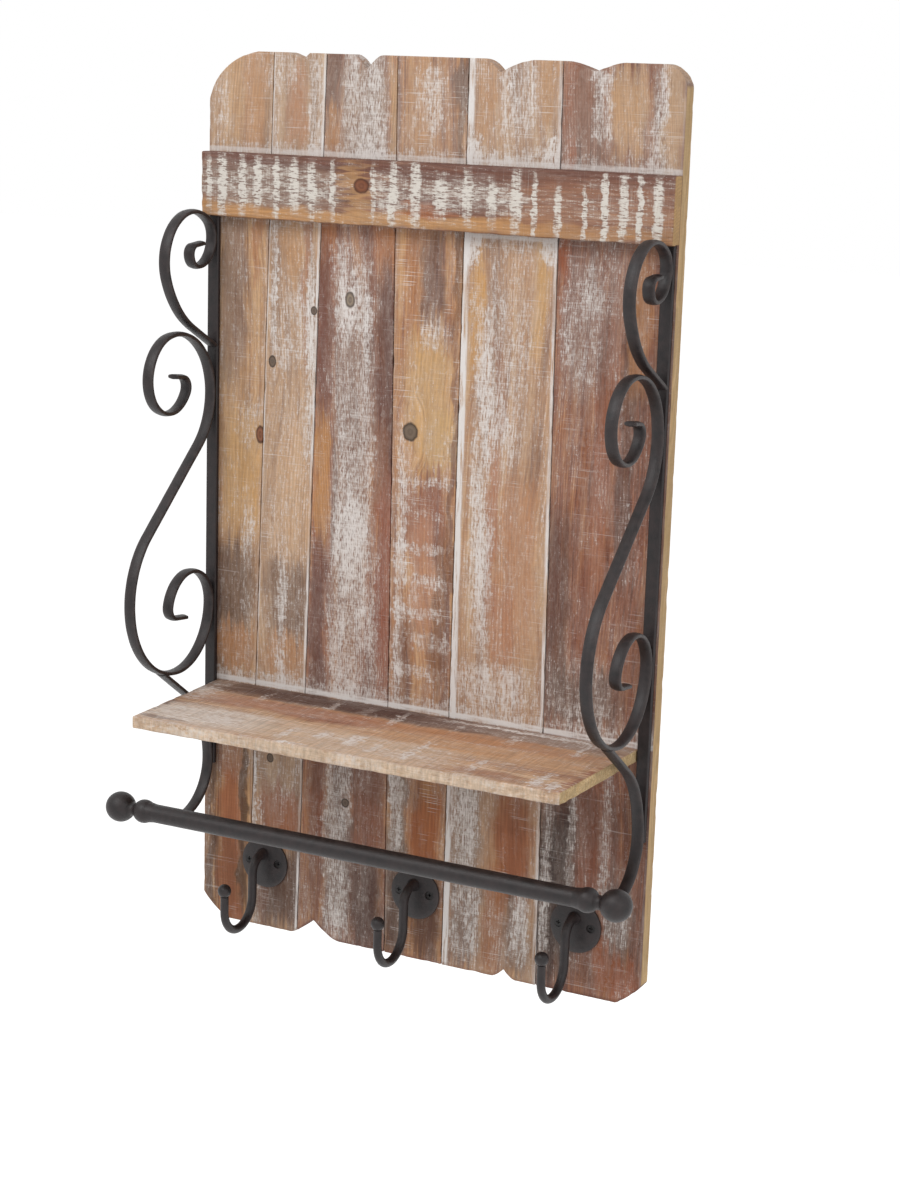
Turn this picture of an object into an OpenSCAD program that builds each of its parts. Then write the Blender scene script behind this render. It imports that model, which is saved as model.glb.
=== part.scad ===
// Wall shelf with hooks: a board of six old planks with a batten, a shelf, two scrolled
// flat-bar brackets that carry a towel rail, and three robe hooks.
// The origin lies on the wall, midway between the two keyholes. X runs to the right, Z up,
// and the shelf stands out from the wall towards -Y.

/* [Board] */
// Width of the board across its planks
board_w = 430; // [415:1:470]
// Height of the board's top edge over the line of the keyholes
board_top = 110; // [95:1:140]
// Height of the whole board
board_h = 767; // [755:1:800]
// Thickness of a plank
plank_t = 14; // [11:0.5:20]
// Open gap between two planks
seam_gap = 0.6; // [0.3:0.1:1.2]

/* [Batten and cleats] */
// Height of the batten across the front of the planks
batten_h = 54; // [44:1:64]
// Thickness of the batten
batten_t = 13; // [10:0.5:20]
// Radius that eases the long edges of the batten and the front of the shelf
wood_edge = 1.6; // [0.6:0.1:3]
// Distance from the board's side to the end of a cleat
cleat_inset = 15; // [13:1:30]
// Height of a cleat
cleat_h = 54; // [52:1:70]
// Thickness of a cleat, which holds the planks off the wall
cleat_t = 12; // [11:0.5:18]
// Height of the lower cleat's middle over the foot of the board
low_cleat_rise = 96; // [94:1:115]

/* [Shelf] */
// Drop from the keyholes to the top of the shelf
shelf_drop = 434; // [425:1:450]
// Thickness of the shelf
shelf_t = 11; // [9:0.5:16]
// Depth of the shelf from the face of the planks
shelf_depth = 142; // [110:1:170]
// How much each end of the shelf draws in towards the front
shelf_taper = 5.5; // [0:0.5:12]
// Gap between an end of the shelf and the bracket beside it
end_gap = 0.5; // [0.3:0.1:1.5]

/* [Flat bar] */
// Width of the flat bar, seen from the front
bar_w = 10.5; // [9:0.5:13]
// Thickness of the flat bar
bar_t = 4.5; // [3.5:0.1:5]
// Chamfer left on the bar's edges by rolling
bar_edge = 0.8; // [0.3:0.1:1.2]
// Distance from the board's side to the strap's outer face
strap_inset = 2; // [1:0.5:5]
// Length of the strap down the face of the planks
strap_len = 484; // [478:1:495]
// Gap between the batten and the top of the strap
strap_gap = 0.5; // [0.3:0.1:2]

/* [Upper scroll] */
// Drop to the place where the upper scroll touches the strap
scroll_drop = 45; // [43:0.5:50]
// Radius of its first bend over the touching place
scroll_heel_r = 18; // [15:0.5:22]
// Turn of that bend
scroll_heel_turn = 52; // [45:1:58]
// Radius of its crown
scroll_crown_r = 40; // [36:0.5:43]
// Turn of the crown
scroll_crown_turn = 150; // [145:1:155]
// Radius of the front, below the crown
scroll_flank_r = 82; // [70:1:95]
// Lean of the leg that runs back to the strap, from upright
scroll_leg_lean = 62; // [56:1:66]
// Radius below the touching place, where the curl starts
scroll_curl_r = 23.5; // [20:0.5:26]
// Radius of the front of the curl
scroll_eye_r = 11; // [9.5:0.5:12.5]
// Radius at the tip of the curl
scroll_tip_r = 7; // [6:0.5:8]
// Straight length of the tip
scroll_tip_len = 12; // [6:0.5:13]

/* [S scroll] */
// Drop to the place where the S scroll touches the strap
ess_drop = 178; // [175:0.5:183]
// Radius of the rise over the touching place
ess_rise_r = 55; // [51:0.5:58]
// Turn of that rise
ess_rise_turn = 102; // [97:1:106]
// Radius of the front of the upper loop
ess_loop_r = 36.5; // [33:0.5:40]
// Turn of the front of the upper loop
ess_loop_turn = 68; // [62:1:74]
// Radius of the upper loop's underside
ess_under_r = 30; // [27:0.5:32]
// Turn of the upper loop's underside
ess_under_turn = 160; // [150:1:170]
// Radius of the upper curl's tip
ess_eye_r = 9.5; // [7.5:0.5:11]
// Straight length of that tip
ess_eye_len = 12; // [6:0.5:16]
// Radius of the first bend of the long limb
ess_neck_r = 58; // [52:1:64]
// Lean of the long limb from upright
ess_lean = 48.5; // [46:0.5:51]
// Straight length of the long limb
ess_limb = 102; // [92:1:110]
// Radius of the bend that brings the limb upright again
ess_hip_r = 76; // [68:1:84]
// Radius of the front of the lower loop
ess_belly_r = 69.5; // [64:0.5:74]
// Turn of the front of the lower loop
ess_belly_turn = 88; // [80:1:95]
// Radius of the lower loop's curl, behind
ess_curl_r = 32.5; // [29:0.5:36]
// Turn of that curl
ess_curl_turn = 167; // [155:1:178]
// Radius of the lower curl's tip
ess_core_r = 10; // [8:0.5:13]
// Straight length of that tip
ess_core_len = 16; // [8:0.5:20]

/* [Lower bar] */
// Drop to the place where the lower bar touches the strap
brace_drop = 506.5; // [503:0.5:509]
// Radius of the bend over the touching place
brace_up_r = 80; // [72:1:84]
// How far the middle of the brace runs inside the S scroll's outer face
brace_bite = 4.2; // [3.4:0.1:6]
// Radius of the bend under the touching place
brace_low_r = 43; // [40:1:46]

/* [Towel rail] */
// Distance from the face of the planks to the rail's axis
rail_out = 106; // [96:1:116]
// Drop from the keyholes to the rail's axis
rail_drop = 529.5; // [524:0.5:535]
// Radius of the rail
rail_r = 8; // [7:0.25:9.5]
// Wall of the rail's tube
rail_wall = 1.3; // [0.8:0.1:2]
// Radius of the bead that each bracket is welded to
bead_r = 10.3; // [10:0.1:12]
// Length of the taper from the bead to the rail, from the bead's middle
taper_len = 11; // [10:0.5:15]
// Radius of the neck between bead and ball
neck_r = 5.7; // [4:0.1:7]
// Radius of the ball at each end
ball_r = 13.2; // [11:0.1:15]
// Distance from the bead's middle to the ball's middle
ball_out = 24.4; // [22:0.1:28]
// Length of the spigot inside the tube
spigot_len = 16; // [8:1:30]
// Clearance of the spigot in the tube
spigot_gap = 0.05; // [0.02:0.01:0.2]

/* [Hooks] */
// Distance between neighbouring hooks
hook_pitch = 152; // [145:1:158]
// Distance that the middle hook stands right of the centre line
hook_shift = 2; // [-5:0.5:5]
// Height of the middle of a hook's plate over the foot of the board
hook_rise = 60.7; // [57:0.1:63]
// Radius of the plate
plate_r = 23.2; // [21:0.1:25]
// Height of the plate's dome
plate_dome = 5.5; // [4.5:0.1:7]
// Height of the plate's rim
plate_rim = 2; // [1.4:0.1:3]
// Height of the arm's root over the middle of the plate
arm_rise = 8.8; // [7:0.1:10]
// Radius of the arm
arm_r = 4; // [3:0.1:4.6]
// Radius of the collar at the arm's root
collar_r = 5.6; // [5:0.1:6.5]
// Radius of the bend where the arm turns down
arm_bend_r = 14; // [12:0.5:17]
// Straight length of the arm down to the hook
arm_down = 20; // [14:0.5:24]
// Radius of the hook
hook_r = 23; // [19:0.5:26]
// Straight length up to the tip
arm_up = 16; // [12:0.5:22]
// Radius of the ball on the tip
tip_r = 6; // [5:0.1:7.5]
// Distance of the two screws from the middle of the plate
plate_screw_x = 15; // [14:0.1:16]
// Height of the two screws over the middle of the plate
plate_screw_rise = 1.5; // [-2:0.1:2]

/* [Screws] */
// Radius of the wood screws
wood_screw_r = 1.9; // [1.5:0.1:2.2]
// Radius of the machine screws in the straps
strap_screw_r = 2; // [1.5:0.1:2.5]
// Radius of the small screws in the hanger plates
hanger_screw_r = 1.4; // [1:0.1:1.6]
// Clearance round a screw in its hole
screw_gap = 0.05; // [0.02:0.01:0.2]
// How far a strap screw ends behind the strap's face
screw_dimple = 0.7; // [0.3:0.1:1.5]
// Drops of the three screws in a strap
strap_screw_drops = [91, 288, 485];

// How far a screw reaches into the shelf's rear edge
shelf_screw_grip = 26; // [18:1:35]
// How far the tips of the other wood screws stay short of the face in front of them
tip_cover = 3; // [2:0.5:5]
// Distance of the screws in a cleat above and below its middle
cleat_screw_rise = 12; // [8:1:15]

/* [Keyholes] */
// Distance of each keyhole from the board's side
keyhole_inset = 65; // [61:1:66]
// Radius of the keyhole's entry
keyhole_r = 5; // [4:0.1:5.5]
// Radius of the keyhole's slot
keyhole_slot_r = 2.5; // [2:0.1:3]
// Travel from the entry to the top of the slot
keyhole_travel = 9; // [7:0.5:10]
// Width of the hanger plate
hanger_w = 16; // [14:0.5:17]
// Length of the hanger plate
hanger_len = 44; // [43:1:48]
// Thickness of the hanger plate
hanger_t = 2; // [1.2:0.1:3]
// Depth of the pocket behind the hanger plate
pocket_depth = 6; // [4:0.5:7.5]

/* [Hidden] */
$fn = 72;

// Places that follow from the sizes
face_y = -(cleat_t + plank_t);
board_foot = board_top - board_h;
cleat_w = board_w - 2 * cleat_inset;
low_cleat_z = board_foot + low_cleat_rise;
keyhole_x = board_w / 2 - keyhole_inset;
strap_top = -(batten_h / 2 + strap_gap);
strap_foot = strap_top - strap_len;
bracket_x = board_w / 2 - strap_inset - bar_w / 2;
shelf_half = bracket_x - bar_w / 2 - end_gap;
// Distance from the planks to the middle of a bar that lies against the strap
touch = 1.5 * bar_t;
// Tilt of each curl's tip from level
tip_tilt = 6;
// Most that a bent bar turns from one ring of its surface to the next
facet_turn = 7.5;
// Length that a cut passes beyond the surface that it starts from
past = 1;

// Seams between the planks, each as its share of the board's width at top and foot
seams = [[0.146, 0.111], [0.263, 0.229], [0.416, 0.435], [0.566, 0.566], [0.757, 0.776]];
// Worn notches in the edges: share of the width, depth, run to the left and to the right
top_notches = [[0.212, 6, 16, 6], [0.35, 12, 13, 14], [0.63, 10.3, 14, 29], [0.821, 7.5, 28, 25]];
foot_notches = [[0.267, 16, 23, 25], [0.705, 8, 11, 10]];
// Rounded corners: width and height
top_left = [47, 45];
top_right = [18, 19];
foot_left = [24, 22];
foot_right = [22, 20];
// Points on each side of a notch and round each corner
edge_steps = 6;
// Power that makes a notch sharp at its root and round at its shoulders
notch_power = 1.5;

wood = "peru";
dark_wood = "sienna";
old_wood = "tan";
iron = [0.24, 0.22, 0.22];
steel = "silver";

// Points round a corner whose sides meet at a point, from one angle to another
function corner(hub, size, from) = [
    for (k = [0 : edge_steps])
        let (a = from - 90 * k / edge_steps)
        hub + [size[0] * cos(a), size[1] * sin(a)]
];

// Points of one notch from left to right, dipping by sign down (-1) or up (1)
function notch(n, level, dip) = concat(
    [for (k = [0 : edge_steps])
        let (t = 1 - k / edge_steps)
        [(n[0] - 0.5) * board_w - n[2] * t, level + dip * n[1] * pow(1 - t, notch_power)]],
    [for (k = [1 : edge_steps])
        let (t = k / edge_steps)
        [(n[0] - 0.5) * board_w + n[3] * t, level + dip * n[1] * pow(1 - t, notch_power)]]
);

// Points of a list of notches, run together
function notches(list, level, dip) = [for (n = list) each notch(n, level, dip)];

// The points of a list in reverse order
function reverse(list) = [for (k = [len(list) - 1 : -1 : 0]) list[k]];

// The worn outline of the whole board, seen from the front
module board_outline() {
    half = board_w / 2;
    polygon(concat(
        corner([-half + top_left[0], board_top - top_left[1]], top_left, 180),
        notches(top_notches, board_top, -1),
        corner([half - top_right[0], board_top - top_right[1]], top_right, 90),
        corner([half - foot_right[0], board_foot + foot_right[1]], foot_right, 0),
        reverse(notches(foot_notches, board_foot, 1)),
        corner([-half + foot_left[0], board_foot + foot_left[1]], foot_left, -90)
    ));
}

// Distance of a seam from the centre line at a height, where seam 0 is the left side
function seam_x(i, z) =
    i == 0 ? -board_w / 2 :
    i > len(seams) ? board_w / 2 :
    let (s = seams[i - 1], t = (board_top - z) / board_h)
    (s[0] + (s[1] - s[0]) * t - 0.5) * board_w;

// Middle of a plank at a height, where the planks count from 0
function plank_x(i, z) = (seam_x(i, z) + seam_x(i + 1, z)) / 2;

// Puts its children, drawn looking from the front, with their back at a distance y
module front_view(y) {
    translate([0, y, 0]) rotate([90, 0, 0]) children();
}

// Puts its children in the plane of a bracket. There X is the distance in front of the
// planks and Y the height.
module side_view(x) {
    translate([x, face_y, 0]) rotate([90, 0, -90]) children();
}

// Where one step of a swept bar ends, as its point and its heading
function step_end(step, at, head) =
    let (size = step[0], turn = step[1], side = sign(turn))
    turn == 0 ? [at + size * [cos(head), sin(head)], head] :
    let (hub = at + side * size * [-sin(head), cos(head)])
    [hub + side * size * [sin(head + turn), -cos(head + turn)], head + turn];

// Where a whole run of steps ends
function run_end(steps, at, head, i = 0) =
    i == len(steps) ? [at, head] :
    let (next = step_end(steps[i], at, head))
    run_end(steps, next[0], next[1], i + 1);

// Frames along a run of steps, each as its point and its heading. A step is
// [radius, turn] for a bend or [length, 0] for a straight run.
function frames(steps, at, head, i = 0) =
    i == len(steps) ? [[at, head]] :
    let (
        size = steps[i][0],
        turn = steps[i][1],
        parts = max(1, ceil(abs(turn) / facet_turn)),
        next = step_end(steps[i], at, head)
    )
    concat(
        [[at, head]],
        [for (k = [1 : 1 : parts - 1]) step_end([size, turn * k / parts], at, head)],
        frames(steps, next[0], next[1], i + 1)
    );

// Frames of a bar that leaves one touching place upwards and downwards, from its lower end
// to its upper end
function frames_both_ways(up, down, at) =
    let (low = frames(down, at, -90))
    concat(
        [for (k = [len(low) - 1 : -1 : 1]) [low[k][0], low[k][1] + 180]],
        frames(up, at, 90)
    );

// Sweeps a section, given as its points, along a list of frames
module sweep(way, section) {
    n = len(section);
    rings = len(way);
    polyhedron(
        points = [
            for (f = way, q = section)
                [f[0][0] - q[0] * sin(f[1]), f[0][1] + q[0] * cos(f[1]), q[1]]
        ],
        faces = concat(
            [[for (j = [0 : n - 1]) j]],
            [for (r = [0 : rings - 2], j = [0 : n - 1])
                each let (a = r * n + j, b = r * n + (j + 1) % n)
                [[a, a + n, b], [b, a + n, b + n]]],
            [[for (j = [n - 1 : -1 : 0]) (rings - 1) * n + j]]
        )
    );
}

// Section of the flat bar, with its rolled edges
bar_section = let (t = bar_t / 2, w = bar_w / 2, e = bar_edge) [
    [-t + e, -w], [t - e, -w], [t, -w + e], [t, w - e],
    [t - e, w], [-t + e, w], [-t, w - e], [-t, -w + e]
];

// A countersunk screw along -Y from the middle of its head's face, with a cross recess
module screw(r, len) {
    head_r = 2 * r;
    head_h = 1.1 * r;
    recess_w = 0.45 * r;
    recess_len = 1.9 * r;
    recess_depth = 0.8 * r;
    rotate([90, 0, 0]) difference() {
        union() {
            cylinder(r1 = head_r, r2 = r, h = head_h);
            cylinder(r = r, h = len - r);
            translate([0, 0, len - r]) cylinder(r1 = r, r2 = 0.3 * r, h = r);
        }
        for (a = [0, 90])
            rotate(a) translate([-recess_len / 2, -recess_w / 2, -past])
                cube([recess_len, recess_w, recess_depth + past]);
    }
}

// The hole that such a screw needs, open at its head
module screw_hole(r, len) {
    head_r = 2 * r + screw_gap;
    head_h = 1.1 * r;
    rotate([90, 0, 0]) {
        translate([0, 0, -past]) cylinder(r = head_r, h = past);
        cylinder(r1 = head_r, r2 = r + screw_gap, h = head_h);
        cylinder(r = r + screw_gap, h = len + screw_gap);
    }
}

// Screws that enter the cleats at the wall, through the planks. The upper ones go on into
// the batten, and the lower ones end inside the planks.
upper_screw_len = cleat_t + plank_t + batten_t - tip_cover;
lower_screw_len = cleat_t + plank_t - tip_cover;
function cleat_screw_z(i) = (i % 2 == 0 ? 1 : -1) * cleat_screw_rise;

module at_upper_screws() {
    for (i = [0 : len(seams)])
        translate([plank_x(i, 0), 0, cleat_screw_z(i)]) children();
}

module at_lower_screws() {
    for (i = [0 : len(seams)])
        translate([plank_x(i, low_cleat_z), 0, low_cleat_z + cleat_screw_z(i)]) children();
}

// Screws from behind the planks into the rear edge of the shelf
shelf_screw_len = plank_t + shelf_screw_grip;
module at_shelf_screws() {
    z = -shelf_drop - shelf_t / 2;
    for (i = [0 : len(seams)])
        translate([plank_x(i, z), -cleat_t, z]) children();
}

// Screws from behind the planks into the straps
strap_screw_len = plank_t + bar_t - screw_dimple;
module at_strap_screws() {
    for (side = [-1, 1], drop = strap_screw_drops)
        translate([side * bracket_x, -cleat_t, -drop]) children();
}

// Screws that hold the hook plates, driven from the front
hook_xs = [hook_shift - hook_pitch, hook_shift, hook_shift + hook_pitch];
hook_z = board_foot + hook_rise;
plate_ball_r = (pow(plate_r, 2) + pow(plate_dome - plate_rim, 2)) / (2 * (plate_dome - plate_rim));
function plate_height(d) = plate_dome - plate_ball_r + sqrt(pow(plate_ball_r, 2) - pow(d, 2));
plate_screw_in = plate_height(norm([plate_screw_x, plate_screw_rise]) + 2 * wood_screw_r);
hook_screw_len = plate_screw_in + plank_t - tip_cover;
module at_hook_screws(xs = hook_xs) {
    for (x = xs, side = [-1, 1])
        translate([x + side * plate_screw_x, face_y - plate_screw_in, hook_z + plate_screw_rise])
            rotate(180) children();
}

// Every screw hole that passes through the planks
module plank_holes() {
    at_upper_screws() screw_hole(wood_screw_r, upper_screw_len);
    at_lower_screws() screw_hole(wood_screw_r, lower_screw_len);
    at_shelf_screws() screw_hole(wood_screw_r, shelf_screw_len);
    at_strap_screws() screw_hole(strap_screw_r, strap_screw_len);
    at_hook_screws() screw_hole(wood_screw_r, hook_screw_len);
}

// One plank, cut from the board's outline between its two seams
module plank(i) {
    left = i == 0 ? 0 : seam_gap / 2;
    right = i == len(seams) ? 0 : seam_gap / 2;
    color(i % 2 == 0 ? wood : dark_wood) difference() {
        front_view(-cleat_t) linear_extrude(plank_t) intersection() {
            board_outline();
            polygon([
                [seam_x(i, board_foot) + left, board_foot - past],
                [seam_x(i + 1, board_foot) - right, board_foot - past],
                [seam_x(i + 1, board_top) - right, board_top + past],
                [seam_x(i, board_top) + left, board_top + past]
            ]);
        }
        plank_holes();
    }
}

// Section of a piece of wood that lies on the planks, with its front edges eased
module eased_section(depth, low, high) {
    hub = depth - wood_edge;
    size = [wood_edge, wood_edge];
    polygon(concat(
        [[0, low], [0, high]],
        corner([hub, high - wood_edge], size, 90),
        corner([hub, low + wood_edge], size, 0)
    ));
}

module front_batten() {
    color(wood) difference() {
        side_view(0) translate([0, 0, -board_w / 2])
            linear_extrude(board_w) eased_section(batten_t, -batten_h / 2, batten_h / 2);
        at_upper_screws() screw_hole(wood_screw_r, upper_screw_len);
    }
}

module cleat(z) {
    color(old_wood) translate([-cleat_w / 2, -cleat_t, z - cleat_h / 2])
        cube([cleat_w, cleat_t, cleat_h]);
}

module upper_cleat() {
    difference() {
        cleat(0);
        at_upper_screws() screw_hole(wood_screw_r, upper_screw_len);
        for (side = [-1, 1]) hanger_pocket(side);
    }
}

module lower_cleat() {
    difference() {
        cleat(low_cleat_z);
        at_lower_screws() screw_hole(wood_screw_r, lower_screw_len);
    }
}

module shelf_board() {
    rear = shelf_half;
    front = shelf_half - shelf_taper;
    color(wood) difference() {
        intersection() {
            translate([0, face_y, -shelf_drop - shelf_t - past]) linear_extrude(shelf_t + 2 * past)
                polygon([[-rear, 0], [rear, 0], [front, -shelf_depth], [-front, -shelf_depth]]);
            side_view(0) translate([0, 0, -board_w / 2]) linear_extrude(board_w)
                eased_section(shelf_depth, -shelf_drop - shelf_t, -shelf_drop);
        }
        at_shelf_screws() screw_hole(wood_screw_r, shelf_screw_len);
    }
}

module strap(side) {
    color(iron) difference() {
        translate([side * bracket_x, face_y - bar_t / 2, strap_foot]) rotate(90)
            linear_extrude(strap_len) polygon(bar_section);
        at_strap_screws() screw_hole(strap_screw_r, strap_screw_len);
    }
}

// Upper scroll: it touches the strap, goes over its crown and comes back to the strap in a
// straight leg. Below the touching place it curls inwards.
scroll_at = [touch, -scroll_drop];
scroll_flank_turn = 180 + scroll_leg_lean - scroll_heel_turn - scroll_crown_turn;
scroll_crown = [
    [scroll_heel_r, -scroll_heel_turn],
    [scroll_crown_r, -scroll_crown_turn],
    [scroll_flank_r, -scroll_flank_turn]
];
scroll_front = run_end(scroll_crown, scroll_at, 90);
scroll_leg = (scroll_front[0][0] - bar_t) / sin(scroll_leg_lean) + 2 * bar_t;
scroll_curl = [
    [scroll_curl_r, 90], [scroll_eye_r, 90], [scroll_tip_r, 90 - tip_tilt], [scroll_tip_len, 0]
];

module upper_scroll(side) {
    color(iron) side_view(side * bracket_x) difference() {
        sweep(frames_both_ways(concat(scroll_crown, [[scroll_leg, 0]]), scroll_curl, scroll_at),
            bar_section);
        // The leg ends flush on the strap
        translate([-4 * bar_t, -board_h, -bar_w]) cube([5 * bar_t, board_h, 2 * bar_w]);
    }
}

// S scroll: it touches the strap, curls forward over itself above that place, and runs
// down in a long limb to the lower loop, which touches the strap again
ess_at = [touch, -ess_drop];
// The turns that bring both tips level but for their tilt
ess_eye_turn = 450 - tip_tilt - ess_rise_turn - ess_loop_turn - ess_under_turn;
ess_core_turn = 270 - tip_tilt - ess_curl_turn;
ess_top = [
    [ess_rise_r, -ess_rise_turn], [ess_loop_r, -ess_loop_turn],
    [ess_under_r, -ess_under_turn], [ess_eye_r, -ess_eye_turn], [ess_eye_len, 0]
];
ess_limbs = [[ess_neck_r, ess_lean], [ess_limb, 0], [ess_hip_r, -ess_lean]];
ess_front = run_end(ess_limbs, ess_at, -90);
// The radius that brings the lower loop back against the strap
ess_foot_r = (ess_front[0][0] - touch - ess_belly_r * (1 - cos(ess_belly_turn)))
    / (1 + cos(ess_belly_turn));
ess_loop = [
    [ess_belly_r, -ess_belly_turn], [ess_foot_r, ess_belly_turn - 180],
    [ess_curl_r, -ess_curl_turn], [ess_core_r, -ess_core_turn], [ess_core_len, 0]
];

module s_scroll(side) {
    color(iron) side_view(side * bracket_x)
        sweep(frames_both_ways(ess_top, concat(ess_limbs, ess_loop), ess_at), bar_section);
}

// Lower bar: a brace that rises to the S scroll's belly and a foot that swings forward to
// the bead of the towel rail
brace_at = [touch, -brace_drop];
belly_hub = ess_front[0] - [ess_belly_r, 0];
belly_r = ess_belly_r + bar_t / 2;
aside = belly_r - brace_bite;
// The lean from upright at which the brace passes the belly's hub at that distance
hubs = belly_hub - brace_at - [brace_up_r, 0];
brace_lean = acos(-(brace_up_r + aside) / norm(hubs)) - atan2(hubs[1], hubs[0]);
brace_bend = [[brace_up_r, -brace_lean]];
brace_start = run_end(brace_bend, brace_at, 90);
// Distance along the brace to the outside of the belly
along = (belly_hub - brace_start[0]) * [sin(brace_lean), cos(brace_lean)];
brace_len = along - sqrt(pow(belly_r, 2) - pow(aside, 2));
foot_bend = [[brace_low_r, 90]];
foot_start = run_end(foot_bend, brace_at, -90);
foot_way = [rail_out, -rail_drop] - foot_start[0];
foot_turn = 2 * atan2(foot_way[1], foot_way[0]);
foot_r = foot_way * foot_way / (2 * foot_way[1]);

module lower_bar(side) {
    color(iron) side_view(side * bracket_x) difference() {
        sweep(
            frames_both_ways(
                concat(brace_bend, [[brace_len + 2 * bar_t, 0]]),
                concat(foot_bend, [[foot_r, foot_turn]]),
                brace_at
            ),
            bar_section
        );
        translate([belly_hub[0], belly_hub[1], -bar_w]) cylinder(r = belly_r, h = 2 * bar_w);
        translate([rail_out, -rail_drop, 0]) sphere(r = bead_r);
    }
}

// The towel rail and what closes it: a bead in the plane of each bracket, a neck and a ball
rail_half = bracket_x - taper_len;

// Lies along the rail's axis, with its local Z pointing out to one side
module on_rail(side, x) {
    translate([side * x, face_y - rail_out, -rail_drop]) rotate([0, side * 90, 0]) children();
}

module towel_rail() {
    color(iron) on_rail(1, -rail_half) difference() {
        cylinder(r = rail_r, h = 2 * rail_half);
        translate([0, 0, -past]) cylinder(r = rail_r - rail_wall, h = 2 * rail_half + 2 * past);
    }
}

module finial(side) {
    shoulder_r = sqrt(pow(bead_r, 2) - pow(bead_r / 2, 2));
    spigot_r = rail_r - rail_wall - spigot_gap;
    color(iron) on_rail(side, bracket_x) {
        sphere(r = bead_r);
        translate([0, 0, -taper_len])
            cylinder(r1 = rail_r, r2 = shoulder_r, h = taper_len - bead_r / 2);
        translate([0, 0, -taper_len - spigot_len]) cylinder(r = spigot_r, h = spigot_len + past);
        cylinder(r = neck_r, h = ball_out);
        translate([0, 0, ball_out]) sphere(r = ball_r);
    }
}

// A hook's plate: a shallow dome with an upright rim, a socket for the arm and two screws
module hook_plate(k) {
    profile = concat(
        [[0, 0], [plate_r, 0]],
        [for (i = [0 : edge_steps])
            let (d = plate_r * (1 - i / edge_steps))
            [d, plate_height(d)]]
    );
    color(iron) difference() {
        translate([hook_xs[k], face_y, hook_z]) rotate([90, 0, 0]) rotate_extrude() polygon(profile);
        arm_root(k) translate([0, 0, -past]) cylinder(r = tenon_r, h = plate_dome + 2 * past);
        at_hook_screws([hook_xs[k]]) screw_hole(wood_screw_r, hook_screw_len);
    }
}

// A hook's arm: a tenon in the plate, a collar, a round bar bent down and up again, a ball
tenon_r = 3.4;
collar_h = 3;
tip_lean = 12;
arm_out = plate_height(arm_rise);
collar_lip = 0.3;
arm_path = [
    [collar_h, 0], [arm_bend_r, -90], [arm_down, 0], [hook_r, 180], [arm_up, 0],
    [arm_bend_r, -tip_lean]
];
arm_start = [arm_out, hook_z + arm_rise];
arm_tip = run_end(arm_path, arm_start, 0);
arm_sides = 14;
arm_section = [for (k = [0 : arm_sides - 1]) arm_r * [cos(360 * k / arm_sides), sin(360 * k / arm_sides)]];

module arm_root(k) {
    translate([hook_xs[k], face_y, arm_start[1]]) rotate([90, 0, 0]) children();
}

module hook_arm(k) {
    color(iron) {
        side_view(hook_xs[k]) {
            sweep(frames(arm_path, arm_start, 0), arm_section);
            translate(arm_tip[0]) sphere(r = tip_r);
        }
        arm_root(k) {
            cylinder(r = tenon_r, h = arm_out + collar_h / 2);
            translate([0, 0, arm_out])
                cylinder(r1 = collar_r, r2 = arm_r + collar_lip, h = collar_h);
        }
    }
}

// A keyhole hanger plate, let in flush with the back of the upper cleat
hanger_rise = 3;
hanger_gap = 0.2;
hanger_screw_len = 10;
hanger_screw_z = hanger_len / 2 - 4;

module at_hanger(side) {
    translate([side * keyhole_x, 0, 0]) children();
}

module at_hanger_screws(side) {
    at_hanger(side) for (end = [-1, 1])
        translate([0, 0, hanger_rise + end * hanger_screw_z]) children();
}

// Outline of the hanger plate, with half-round ends
module hanger_outline(grow = 0) {
    r = hanger_w / 2 + grow;
    straight = hanger_len - hanger_w;
    for (end = [-1, 1])
        translate([0, hanger_rise + end * straight / 2]) circle(r = r);
    translate([-r, hanger_rise - straight / 2]) square([2 * r, straight]);
}

module hanger_plate(side) {
    color(steel) difference() {
        at_hanger(side) front_view(0) linear_extrude(hanger_t) difference() {
            hanger_outline();
            circle(r = keyhole_r);
            translate([0, keyhole_travel]) circle(r = keyhole_slot_r);
            translate([-keyhole_slot_r, 0]) square([2 * keyhole_slot_r, keyhole_travel]);
        }
        at_hanger_screws(side) screw_hole(hanger_screw_r, hanger_screw_len);
    }
}

// Recess for the plate, and behind it the pocket that a wall screw's head moves in
module hanger_pocket(side) {
    pocket_w = 2 * keyhole_r + 2;
    at_hanger(side) {
        translate([0, past, 0]) front_view(0)
            linear_extrude(hanger_t + past) hanger_outline(hanger_gap);
        translate([-pocket_w / 2, -hanger_t - pocket_depth, -pocket_w / 2])
            cube([pocket_w, pocket_depth + past, pocket_w + keyhole_travel]);
    }
    at_hanger_screws(side) screw_hole(hanger_screw_r, hanger_screw_len);
}

module hook_screws() {
    color(iron) at_hook_screws() screw(wood_screw_r, hook_screw_len);
}

module strap_screws() {
    color(steel) at_strap_screws() screw(strap_screw_r, strap_screw_len);
}

module cleat_screws() {
    color(steel) {
        at_upper_screws() screw(wood_screw_r, upper_screw_len);
        at_lower_screws() screw(wood_screw_r, lower_screw_len);
    }
}

module shelf_screws() {
    color(steel) at_shelf_screws() screw(wood_screw_r, shelf_screw_len);
}

module hanger_screws() {
    color(steel) for (side = [-1, 1])
        at_hanger_screws(side) screw(hanger_screw_r, hanger_screw_len);
}

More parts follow.
